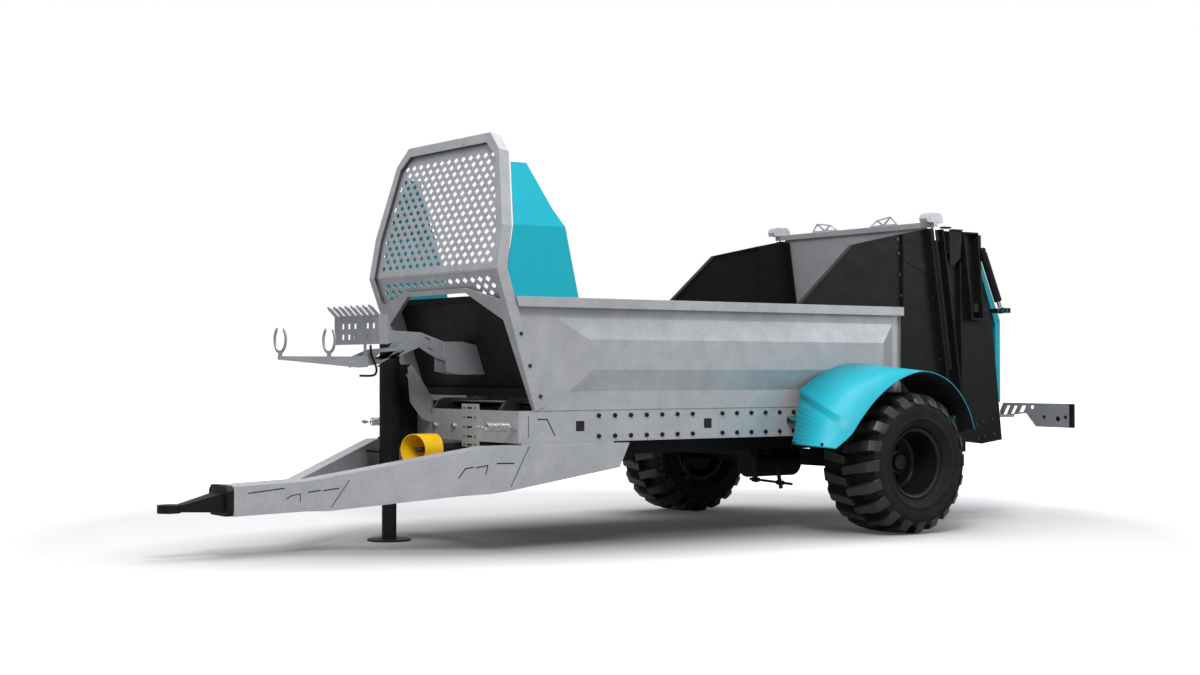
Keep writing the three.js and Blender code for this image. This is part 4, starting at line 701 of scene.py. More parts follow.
def finish_piece(
    mesh: bpy.types.Mesh,
    name: str,
    finish: Finish,
    body: str,
    stands_for: Sequence[str] = (),
    bevel: float = 0.0,
    smooth: float = 35.0,
) -> bpy.types.Object:
    """Gives a mesh its object, material, soft edges and place in the frame.

    Args:
        mesh: the finished mesh.
        name: the piece's name.
        finish: its surface.
        body: the body that it rides on.
        stands_for: CAD nodes that it replaces.
        bevel: width of its rounded edges, or 0.
        smooth: edges flatter than this many degrees look round; at FLAT or less, none do.

    Returns:
        The Blender object.
    """
    piece = bpy.data.objects.new(name, mesh)
    bpy.context.scene.collection.objects.link(piece)
    mesh.materials.clear()
    mesh.materials.append(PAINTS.of(finish))
    if smooth > FLAT:
        mesh.shade_smooth()
        mesh.set_sharp_from_angle(angle=math.radians(smooth))
    else:
        mesh.shade_flat()
    if bevel:
        rounding = piece.modifiers.new("edges", "BEVEL")
        rounding.width = bevel
        rounding.segments = BEVEL_SEGMENTS
        rounding.limit_method = "ANGLE"
        rounding.angle_limit = math.radians(BEVEL_FROM)
        rounding.harden_normals = smooth > FLAT
    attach(piece, body)
    if stands_for:
        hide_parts(*stands_for)
    return piece


def body_of_node(node: str) -> str:
    """The body that holds a CAD node."""
    bodies = frame["record"]["behaviour"]["bodies"]
    return next(body for body, nodes in bodies.items() if node in nodes)


SAME_POINT = 1e-5
SAME_PLANE = 0.6


def refine(
    node: str, finish: Finish, bevel: float, smooth: float
) -> bpy.types.Object:
    """A copy of a CAD node with its flat faces joined up and its edges rounded.

    Args:
        node: the CAD node that the copy replaces.
        finish: its surface.
        bevel: width of its rounded edges, or 0 to keep its triangles.
        smooth: edges flatter than this many degrees look round.

    Returns:
        The Blender object.
    """
    work = bmesh.new()
    work.from_mesh(frame["nodes"][node].data)
    bmesh.ops.remove_doubles(work, verts=work.verts, dist=SAME_POINT)
    if bevel:
        bmesh.ops.dissolve_limit(
            work, angle_limit=math.radians(SAME_PLANE), use_dissolve_boundaries=False,
            verts=work.verts, edges=work.edges,
        )
    name = f"{node}_shell"
    mesh = bpy.data.meshes.new(name)
    work.to_mesh(mesh)
    work.free()
    return finish_piece(mesh, name, finish, body_of_node(node), (node,), bevel, smooth)


@dataclass(frozen=True)
class Flat:
    """A flat face: a starting point and two directions on it; its normal is up x along."""

    origin: tuple[float, float, float]
    along: tuple[float, float, float]
    up: tuple[float, float, float] = (0.0, 0.0, 1.0)

    @property
    def normal(self) -> np.ndarray:
        """Outward direction."""
        return unit(np.cross(self.up, self.along))

    def at(self, a: float, b: float, proud: float = 0.0) -> np.ndarray:
        """The point a along and b up, lifted off the face by proud."""
        flat = LAY.at(*self.origin) + a * unit(self.along) + b * unit(self.up)
        return flat + proud * self.normal

    def plate(self, shape: Shape, points: Outline, proud: float, sunk: float = 0.001) -> None:
        """A flat outline that stands proud of the face.

        Args:
            shape: takes the plate.
            points: its corners along and up the face.
            proud: how far it stands out.
            sunk: how far it reaches behind the face.
        """
        outline = np.array([self.at(a, b, -sunk) for a, b in points])
        turn = sum(p[0] * q[1] - p[1] * q[0] for p, q in zip(points, [*points[1:], points[0]]))
        shape.prism(outline[::-1] if turn > 0 else outline, self.normal * (proud + sunk))

    def line(self, shape: Shape, points: Outline, width: float, proud: float = 0.0007) -> None:
        """A groove or seam drawn as a narrow band from point to point.

        Args:
            shape: takes the band.
            points: its middle line along and up the face.
            width: its width.
            proud: how far it stands out.
        """
        for (a0, b0), (a1, b1) in zip(points, points[1:]):
            length = math.hypot(a1 - a0, b1 - b0)
            da, db = (a1 - a0) / length * width / 2, (b1 - b0) / length * width / 2
            self.plate(shape, [
                (a0 - da - db, b0 - db + da), (a0 - da + db, b0 - db - da),
                (a1 + da + db, b1 + db - da), (a1 + da - db, b1 + db + da),
            ], proud)


@dataclass
class FenderShade:
    """Painted shade: a near-black copy of a fender's faces that look at its wheel."""

    side: str
    lift: float = 0.0009
    arm_half_y: float = 0.79
    facing: float = 0.35

    def build(self) -> None:
        """Keeps a copy of the fender's inner faces and of its arm, lifted off along the normals."""
        work = bmesh.new()
        work.from_mesh(frame["nodes"][f"fender_{self.side}"].data)
        low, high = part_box(f"tyre_{self.side}")
        hub = (low + high) / 2
        outer = []
        for face in work.faces:
            centre = face.calc_center_median()
            towards = hub - centre
            towards.y = 0.0
            on_arm = abs(centre.y) < self.arm_half_y
            if not on_arm and face.normal.dot(towards) < self.facing * towards.length:
                outer.append(face)
        bmesh.ops.delete(work, geom=outer, context="FACES")
        work.normal_update()
        for vert in work.verts:
            vert.co += vert.normal * self.lift
        name = f"fender_underside_{self.side}"
        mesh = bpy.data.meshes.new(name)
        work.to_mesh(mesh)
        work.free()
        # Near-black SHADE finish: painted shade for the fender's underside, which lies in shadow.
        finish_piece(mesh, name, SHADE, "frame", smooth=20)


def spline(points: Outline, steps: int) -> np.ndarray:
    """A Catmull-Rom curve through the points.

    Between p1 and p2 it is half of 2 p1 + (p2 - p0) t + (2 p0 - 5 p1 + 4 p2 - p3) t^2
    + (3 p1 - p0 - 3 p2 + p3) t^3.

    Args:
        points: the points that it passes.
        steps: pieces between each two.

    Returns:
        The points of the curve.
    """
    points = np.asarray(points, float)
    padded = np.vstack([2 * points[0] - points[1], points, 2 * points[-1] - points[-2]])
    t = np.linspace(0, 1, steps, endpoint=False)[:, None]
    rows = []
    for p0, p1, p2, p3 in zip(padded, padded[1:], padded[2:], padded[3:]):
        rows.append(
            0.5 * (2 * p1 + (p2 - p0) * t + (2 * p0 - 5 * p1 + 4 * p2 - p3) * t**2
                   + (3 * p1 - p0 - 3 * p2 + p3) * t**3)
        )
    return np.vstack([*rows, points[-1:]])


# ------------------------------------------------------------------------------ wheels

ON_AXIS = 1e-4

RIM_PROFILE = (
    (0.0, -0.026), (0.15, -0.026), (0.178, -0.034), (0.192, -0.06), (0.196, -0.12), (0.2, -0.196),
    (0.226, -0.1995), (0.228, -0.196), (0.228, -0.189), (0.2185, -0.1865), (0.215, -0.184),
    (0.2145, -0.1), (0.2145, 0.1), (0.215, 0.184), (0.2185, 0.1865), (0.228, 0.189),
    (0.228, 0.196), (0.226, 0.1995), (0.22, 0.198), (0.212, 0.19), (0.2065, 0.186), (0.204, 0.16),
    (0.2, 0.11), (0.193, 0.05), (0.19, 0.0), (0.18, -0.012), (0.166, -0.016), (0.12, -0.012),
    (0.118, -0.004), (0.084, -0.002), (0.082, 0.02), (0.078, 0.03), (0.06, 0.036), (0.056, 0.05),
    (0.05, 0.058), (0.0, 0.06),
)


@dataclass
class Wheel:
    """A wide low-pressure tyre on a deep-dished rim."""

    side: int
    radius: float = 0.465
    half_width: float = 0.25
    tread_half: float = 0.17
    crown_drop: float = 0.004
    shoulder_drop: float = 0.075
    bead_radius: float = 0.2285
    lugs: int = 20
    lug_height: float = 0.05
    lug_stations: tuple[float, ...] = (-0.012, 0.03, 0.075, 0.12, 0.165, 0.2, 0.225, 0.243, 0.2485)
    lug_shares: tuple[float, ...] = (0.0, 0.3, 0.6, 1.0)
    lug_widths: tuple[float, ...] = (0.19, 0.21, 0.25, 0.27)
    lug_sweep: float = 0.34
    nuts: int = 8
    nut_circle: float = 0.101
    nut_width: float = 0.03
    stud_radius: float = 0.008
    stud_length: float = 0.026

    @property
    def name(self) -> str:
        """Left or right."""
        return "left" if self.side > 0 else "right"

    @property
    def centre(self) -> np.ndarray:
        """The wheel's centre."""
        low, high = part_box(f"tyre_{self.name}")
        return np.array((low + high) / 2)

    def crown(self, y: np.ndarray) -> np.ndarray:
        """Radius of the lug tops: flat across the tread, then rounding down over the shoulder.

        Args:
            y: distances from the wheel's middle.

        Returns:
            The radius at each of them.
        """
        over = np.clip((np.abs(y) - self.tread_half) / (self.half_width - self.tread_half), 0, 1)
        tread = self.radius - self.crown_drop * (y / self.tread_half) ** 2 * (over == 0)
        return tread - self.crown_drop * (over > 0) - self.shoulder_drop * over**2.2

    def lug(self, shape: Shape, angle: float, hand: int) -> None:
        """One shoulder lug: broad at the shoulder, narrowing and bending towards the middle.

        Args:
            shape: takes the lug.
            angle: where it stands round the wheel.
            hand: 1 for the left shoulder, -1 for the right.
        """
        pitch = 2 * math.pi / self.lugs
        y = np.array(self.lug_stations) * hand
        share = np.linspace(0, 1, len(y))
        bend = angle + pitch * self.lug_sweep * (1 - share) ** 1.4
        half = pitch * np.interp(share, self.lug_shares, self.lug_widths)
        top = self.crown(y)
        foot = self.radius - self.lug_height - 0.045 * np.clip(share - 0.7, 0, 1)
        root = np.minimum(top - 0.004, foot)
        rows = []
        for angle_shift, radius in ((-1.14, root), (-0.94, top), (0.94, top), (1.14, root)):
            turn = bend + angle_shift * half
            rows.append(np.column_stack([radius * np.sin(turn), y, radius * np.cos(turn)]))
        points = np.array(rows) + self.centre
        if hand > 0:
            points = points[::-1]
        start = shape.count
        shape.grid(points.transpose(1, 0, 2)[:, ::-1])
        columns = points.shape[0]
        last = start + (len(y) - 1) * columns
        shape.faces.append([start + i for i in range(columns)])
        shape.faces.append([last + i for i in range(columns)][::-1])

    def build_tyre(self) -> None:
        """Carcass as one turned profile, and lugs on both shoulders, paler as a painted highlight.
        """
        base = self.radius - self.lug_height
        bead = self.bead_radius
        half = [
            (bead - 0.011, 0.186), (bead + 0.002, 0.187), (bead + 0.008, 0.2),
            (bead + 0.016, 0.215), (0.262, 0.226), (0.285, 0.238), (0.29, 0.2435), (0.296, 0.2435),
            (0.301, 0.241), (0.325, 0.2455), (0.35, 0.2465), (0.372, 0.2445), (0.392, 0.239),
            (0.41, 0.229), (base - 0.006, 0.21), (base, 0.185),
        ]
        mirrored = [(radius, -y) for radius, y in half[::-1]]
        shape = Shape().lathe(half + mirrored, self.centre, (0, 1, 0), 96)
        shape.faces = [face[::-1] for face in shape.faces]
        shape.make(f"tyre_carcass_{self.name}", RUBBER, f"wheel_{self.name}", Slot.TYRE,
                   (f"tyre_{self.name}",), smooth=38)
        shape = Shape()
        pitch = 2 * math.pi / self.lugs
        for index in range(self.lugs):
            self.lug(shape, index * pitch, 1)
            self.lug(shape, (index + 0.5) * pitch, -1)
        # The paler TREAD lugs against the darker carcass are painted highlight and painted shade.
        shape.make(f"tyre_lugs_{self.name}", TREAD, f"wheel_{self.name}", Slot.TYRE, smooth=20)

    def build_rim(self) -> None:
        """Barrel with drop centre, dished disc, hub and nuts."""
        out = self.side
        profile = [(max(radius, ON_AXIS), height * out) for radius, height in RIM_PROFILE]
        shape = Shape().lathe(profile, self.centre, (0, 1, 0), 80)
        if out > 0:
            shape.faces = [face[::-1] for face in shape.faces]
        nuts = Shape()
        step = 360 / self.nuts
        for index in range(self.nuts):
            turn = math.radians(step / 2 + step * index)
            x, z = self.nut_circle * math.cos(turn), self.nut_circle * math.sin(turn)
            foot = self.centre + np.array([x, out * -0.004, z])
            nuts.bolt(foot, (0, out, 0), self.nut_width)
            nuts.rod(foot, foot + np.array([0, out * self.stud_length, 0]), self.stud_radius, 12)
        valve = self.centre + np.array([0.0, out * 0.12, 0.196])
        nuts.rod(valve, valve + np.array([0.0, out * 0.04, -0.016]), 0.005, 10)
        body = f"wheel_{self.name}"
        shape.make(f"rim_dish_{self.name}", RIM_BLACK, body, Slot.BLACK,
                   (f"rim_{self.name}",), smooth=40)
        nuts.make(f"wheel_nuts_{self.name}", RIM_BLACK, body, Slot.BLACK)

    def build(self) -> None:
        """The whole wheel."""
        self.build_tyre()
        self.build_rim()


# ------------------------------------------------------------------------------ front guard screen


@dataclass
class Screen:
    """The perforated sheet behind the front guard: staggered slanted holes in two bent parts.

    The upper part is drawn in (y, s) with s up its slope from the fold, and the lower part with s
    The upper part is drawn in (y, s) with s up its slope from the fold, and the lower part with s
    down its slope.
    """

    fold_x: float = 2.9
    fold_z: float = 1.67
    upper_lean: float = 9.0
    lower_lean: float = 19.1
    back: float = 0.026
    thickness: float = 0.003
    pitch_y: float = 0.087
    pitch_s: float = 0.0435
    hole_y: float = 0.029
    hole_s: float = 0.0195
    slant: float = -0.001
    rows: tuple[int, int] = (-16, 22)
    columns: tuple[int, int] = (-11, 12)
    border: float = 0.006
    lip_depth: float = 0.0065
    lip_inset: float = 0.997

    def place(self, flat: np.ndarray, lower: bool, depth: float) -> np.ndarray:
        """Bends flat points onto one part: origin + y (0, 1, 0) + s along.

        Args:
            flat: points (y, s).
            lower: whether they are on the lower part.
            depth: how far they are set back from the front face.

        Returns:
            The points in the row frame.
        """
        lean = math.radians(self.lower_lean if lower else self.upper_lean)
        sign = -1 if lower else 1
        along = np.array([-math.sin(lean), 0, sign * math.cos(lean)])
        normal = np.array([math.cos(lean), 0, sign * math.sin(lean)])
        origin = LAY.at(self.fold_x, 0, self.fold_z) - normal * depth
        return origin + flat[:, :1] * (0, 1, 0) + flat[:, 1:] * along

    def diamonds(self, inside: Callable[[float, float], bool], lower: bool) -> list[np.ndarray]:
        """The holes that lie well inside the sheet, on one lattice over both parts.

        Args:
            inside: tells whether a point (y, s) lies well inside.
            lower: which part's holes are wanted.

        Returns:
            The four corners of each hole.
        """
        holes = []
        for row in range(*self.rows):
            if (row * self.pitch_s < 0) != lower:
                continue
            for column in range(*self.columns):
                y = (column + 0.5 * (row % 2)) * self.pitch_y
                s = abs((row + 0.5) * self.pitch_s)
                corners = [
                    (y - self.hole_y, s - self.slant), (y, s - self.hole_s),
                    (y + self.hole_y, s + self.slant), (y, s + self.hole_s),
                ]
                if lower:
                    corners = [(a, 2 * s - b) for a, b in corners][::-1]
                if all(inside(*corner) for corner in corners):
                    holes.append(np.array(corners))
        return holes

    def perforate(
        self, shape: Shape, outline: np.ndarray, holes: list[np.ndarray], lower: bool
    ) -> None:
        """Triangulates the sheet round its holes and gives it front, back and edges.

        Args:
            shape: takes the sheet.
            outline: its corners (y, s).
            holes: the corners of each hole.
            lower: which part it is.
        """
        points = [Vector(point) for point in outline]
        loops = [list(range(len(outline)))]
        for hole in holes:
            loops.append(list(range(len(points), len(points) + len(hole))))
            points.extend(Vector(point) for point in hole)
        found = delaunay_2d_cdt(points, [], loops, 1, 1e-6)
        flat = np.array([tuple(point) for point in found[0]])
        solid = [list(face) for face, source in zip(found[2], found[5]) if list(source) == [0]]
        front = self.place(flat, lower, self.back)
        behind = self.place(flat, lower, self.back + self.thickness)
        first, second, third = (front[index] for index in solid[0][:3])
        facing = np.cross(second - first, third - first)[0] > 0
        n = len(flat)
        faces = [face if facing else face[::-1] for face in solid]
        faces = faces + [[index + n for index in face][::-1] for face in faces]
        used: dict[tuple[int, int], int] = {}
        for face in faces[: len(solid)]:
            for a, b in zip(face, face[1:] + face[:1]):
                used[(a, b)] = used.get((a, b), 0) + 1
        faces += [[b, a, a + n, b + n] for a, b in used if (b, a) not in used]
        shape.put(np.vstack([front, behind]), faces)

    def build(self) -> None:
        """Both parts as one piece that stands for the plain CAD sheet."""
        upper = np.array([(0.776, 0.001), (0.763, 0.267), (0.616, 0.735), (0.496, 0.838)])
        lower = np.array([
            (0.776, 0.001), (0.7705, 0.163), (0.7393, 0.163), (0.7393, 0.277), (0.705, 0.297),
            (0.365, 0.136),
        ])
        shape = Shape()

        def inside_upper(y: float, s: float) -> bool:
            """Whether a point of the upper part keeps its distance from the edges."""
            limit = np.interp(s, [0, 0.267, 0.735, 0.80], [0.712, 0.70, 0.553, 0.485])
            return self.border < s < 0.775 and abs(y) < limit

        def inside_lower(y: float, s: float) -> bool:
            """Whether a point of the lower part keeps its distance from the edges."""
            arch = np.interp(abs(y), [0, 0.30, 0.60, 0.72], [0.095, 0.095, 0.2, 0.235])
            return self.border < s < arch and abs(y) < 0.69

        for half, inside, is_lower in ((upper, inside_upper, False), (lower, inside_lower, True)):
            outline = np.vstack([half, half[::-1] * (-1, 1)])
            self.perforate(shape, outline, self.diamonds(inside, is_lower), is_lower)
        shape.make("guard_mesh", ZINC, "frame", Slot.ZINC, ("guard_screen",), smooth=20)
        self.build_lips()

    def build_lips(self) -> None:
        """Narrow returns from the window's edge to the set-back screen, dark as painted shade."""
        window = np.array([(0.727, 0.004), (0.714, 0.238), (0.577, 0.706), (0.465, 0.79)])
        edge = np.vstack([window, window[::-1] * (-1, 1)])
        middle = self.back + self.thickness / 2
        inner = edge * (self.lip_inset, self.lip_inset)
        rows = np.array([
            self.place(edge, False, self.lip_depth), self.place(edge, False, middle),
            self.place(inner, False, middle), self.place(inner, False, self.lip_depth),
        ])
        shape = Shape().grid(rows, wrap_u=True)
        shape.make("window_returns", DARK_ZINC, "frame", Slot.ZINC, smooth=10)


# ------------------------------------------------------------------------------ bolts and small trim


SIDE_FACE = (1.0, 0.0, 0.0)


@dataclass
class RailTrim:
    """Bolt rows, square holes, slots and seams on the outer faces of rails and drawbar."""

    first_x: float = 2.138
    pitch: float = 0.1219
    places: int = 14
    missing: int = 7
    high_z: float = 0.796
    low_z: float = 0.671
    square_x: tuple[float, ...] = (2.276, 1.282)
    square_z: float = 0.735
    square_half: float = 0.031
    bolt_width: float = 0.023

    def build_rails(self, holes: Shape) -> None:
        """Two bolt rows, the square holes, a slit and the angled slot near the front.

        Args:
            holes: takes the holes and slots.
        """
        face = Flat((0.0, LAY.rail_y, 0.0), SIDE_FACE)
        bolts = Shape()
        for index in range(self.places):
            x = self.first_x - index * self.pitch
            if index != self.missing:
                for z in (self.high_z, self.low_z):
                    bolts.bolt(face.at(x, z), face.normal, self.bolt_width)
        r, z = self.square_half, self.square_z
        for x in self.square_x:
            corners = [(x - r, z - r), (x + r, z - r), (x + r, z + r), (x - r, z + r)]
            face.plate(holes, corners, proud=0.0006)
        face.line(holes, [(2.651, 0.674), (2.651, 0.798)], width=0.004)
        face.line(holes, [(2.582, 0.78), (2.518, 0.779), (2.463, 0.684)], width=0.007)
        bolts.mirrored().make("rail_bolts", BLACK, "frame", Slot.BLACK)

    def build_drawbar(self, holes: Shape, seams: Shape) -> None:
        """Slots cut in the converging beams, and the seams of their folded plates.

        Args:
            holes: takes the slots.
            seams: takes the seams.
        """
        beam = Flat((2.93, 0.771, 0.0), (0.87, -0.638, 0.0))
        beam.line(holes, [(0.188, 0.446), (0.15, 0.499), (0.106, 0.507)], width=0.006)
        beam.line(holes, [(0.084, 0.505), (0.02, 0.518), (0.031, 0.466)], width=0.006)
        beam.line(holes, [(1.066, 0.361), (0.999, 0.373)], width=0.006)
        beam.line(holes, [(0.977, 0.372), (0.89, 0.385)], width=0.006)
        beam.line(seams, [(0.932, 0.275), (0.828, 0.431)], width=0.005)
        tail = Flat((0.0, 0.7705, 0.0), SIDE_FACE)
        tail.line(holes, [(2.888, 0.528), (2.773, 0.526)], width=0.007)
        tail.line(seams, [(2.791, 0.392), (2.664, 0.62)], width=0.005)
        nose = Flat((0.0, 0.1325, 0.0), SIDE_FACE)
        nose.line(holes, [(3.924, 0.328), (3.892, 0.346), (3.878, 0.348)], width=0.005)
        nose.line(holes, [(3.868, 0.349), (3.838, 0.354), (3.838, 0.309)], width=0.005)
        nose.line(holes, [(4.16, 0.37), (3.941, 0.39)], width=0.006)

    def build(self) -> None:
        """Both sides at once."""
        holes, seams = Shape(), Shape()
        self.build_rails(holes)
        self.build_drawbar(holes, seams)
        # Holes and slots are thin near-black plates: painted shade where the cuts lie in shadow.
        holes.mirrored().make("cut_slots", SHADE, "frame", Slot.BLACK)
        seams.mirrored().make("folded_seams", DARK_ZINC, "frame", Slot.ZINC)


@dataclass
class Spring:
    """A tension spring with hooked ends."""

    start: Point
    end: Point
    coil_radius: float = 0.025
    wire: float = 0.0036
    turns: int = 13
    steps_per_turn: int = 14
    eye_share: float = 1.5
    loop_share: float = 0.62

    def add_to(self, shape: Shape) -> None:
        """Adds p(t) = a + (b - a) t + r (u cos 2 pi n t + v sin 2 pi n t), with an eye at each end.

        Args:
            shape: takes the spring.
        """
        a, b = np.asarray(self.start, float), np.asarray(self.end, float)
        along = unit(b - a)
        u, v = square_to(along)
        eye = self.coil_radius * self.eye_share
        first, last = a + along * eye, b - along * eye
        t = np.linspace(0, 1, self.turns * self.steps_per_turn + 1)
        turn = 2 * math.pi * self.turns * t
        helix = first + np.outer(t, last - first) + self.coil_radius * (
            np.outer(np.cos(turn), u) + np.outer(np.sin(turn), v))
        shape.tube(helix, self.wire, 8)
        ring = np.linspace(0, 2 * math.pi, 18, endpoint=False)
        for centre, way in ((a + along * eye * 0.5, -1), (b - along * eye * 0.5, 1)):
            circle = np.outer(np.cos(ring), along * way) + np.outer(np.sin(ring), u)
            shape.tube(centre + eye * self.loop_share * circle, self.wire, 8, closed=True)


@dataclass
class ParkingSprings:
    """The two tension springs in front of the rails, between eye bolts."""

    half_gap: float = 0.7
    z: float = 0.739
    back_x: float = 2.737
    front_x: float = 2.964

    def build(self) -> None:
        """Springs, the lugs behind them, and the eye bolts and cross pins in front."""
        springs, fittings = Shape(), Shape()
        for y in (self.half_gap, -self.half_gap):
            Spring(LAY.at(self.back_x, y, 0.737), LAY.at(self.front_x, y, self.z)).add_to(springs)
            fittings.block(LAY.at(2.72, y - 0.02, 0.72), LAY.at(2.744, y + 0.02, 0.755))
            fittings.rod(LAY.at(2.955, y, self.z), LAY.at(2.995, y, self.z), 0.007, 12)
            fittings.bolt(LAY.at(2.972, y, self.z), (1, 0, 0), 0.024)
            pin = LAY.at(2.962, y - 0.06, self.z)
            fittings.rod(pin, LAY.at(2.962, y + 0.02, self.z), 0.008, 12)
        springs.make("parking_springs", BOLT, "frame", Slot.ZINC, smooth=60)
        fittings.make("spring_fittings", ZINC_FINE, "frame", Slot.ZINC, bevel=0.0015)


@dataclass
class FrontTrim:
    """Small parts between the drawbar and the hopper's front."""

    plate_x: float = 2.7283
    socket_rows: tuple[float, ...] = (0.841, 0.783, 0.723, 0.665, 0.615)

    def build_cross_plate(self) -> None:
        """Bolts, a tab and the rows of coupling sockets on the cross plate."""
        bright, dark = Shape(), Shape()
        x = self.plate_x
        for y, z in ((-0.232, 0.725), (-0.001, 0.726)):
            bright.bolt(LAY.at(x - 0.008, y, z), (1, 0, 0), 0.03)
            low = LAY.at(x - 0.009, y - 0.035, z - 0.007)
            dark.block(low, LAY.at(x - 0.007, y - 0.02, z + 0.007))
        bright.block(LAY.at(2.7205, -0.306, 0.82), LAY.at(2.727, -0.257, 0.89))
        for z in self.socket_rows:
            dark.block(LAY.at(2.727, 0.166, z - 0.006), LAY.at(x + 0.0004, 0.226, z + 0.006))
            for y in (0.133, 0.261):
                dark.rod(LAY.at(2.727, y, z), LAY.at(x + 0.0004, y, z), 0.008, 12)
        bright.make("cross_plate_bolts", BOLT, "frame", Slot.ZINC)
        # The sockets' and bolts' slots and holes are near-black: painted shade in the openings.
        dark.make("coupling_sockets", SHADE, "frame", Slot.BLACK)

    def build_hooks(self) -> None:
        """The bent rod under the hose rack, and the two collars of the jack's tube."""
        shape = Shape()
        path = spline([
            (3.352, 0.08, 1.225), (3.347, 0.08, 1.17), (3.314, 0.08, 1.09), (3.318, 0.08, 1.052),
            (3.35, 0.08, 1.04), (3.424, 0.08, 1.04),
        ], 6)
        shape.tube(path + (LAY.axle_x, 0, 0), 0.007, 10)
        for z in (0.628, 0.35):
            shape.lathe([(0.0625, z), (0.0665, z), (0.0665, z + 0.012), (0.0625, z + 0.012)],
                        LAY.at(3.0, -0.326, 0.0), (0, 0, 1), 40)
        shape.make("hooked_rod", BLACK, "frame", Slot.BLACK, smooth=40)

    def build_levers(self) -> None:
        """Brake levers and their connecting rod under the frame."""
        shape = Shape()
        for y in (0.5, -0.5):
            shape.rod(LAY.at(0.69, y, 0.49), LAY.at(0.672, y, 0.324), 0.014, 10)
            shape.rod(LAY.at(0.486, y, 0.43), LAY.at(0.45, y, 0.275), 0.014, 10)
            shape.rod(LAY.at(0.725, y, 0.349), LAY.at(0.351, y, 0.299), 0.009, 10)
            for x, z in ((0.675, 0.342), (0.458, 0.313)):
                shape.rod(LAY.at(x, y - 0.03, z), LAY.at(x, y + 0.03, z), 0.016, 12)
        shape.make("brake_levers", BLACK, "frame", Slot.BLACK, smooth=40)

    def build(self) -> None:
        """All of them."""
        self.build_cross_plate()
        self.build_hooks()
        self.build_levers()


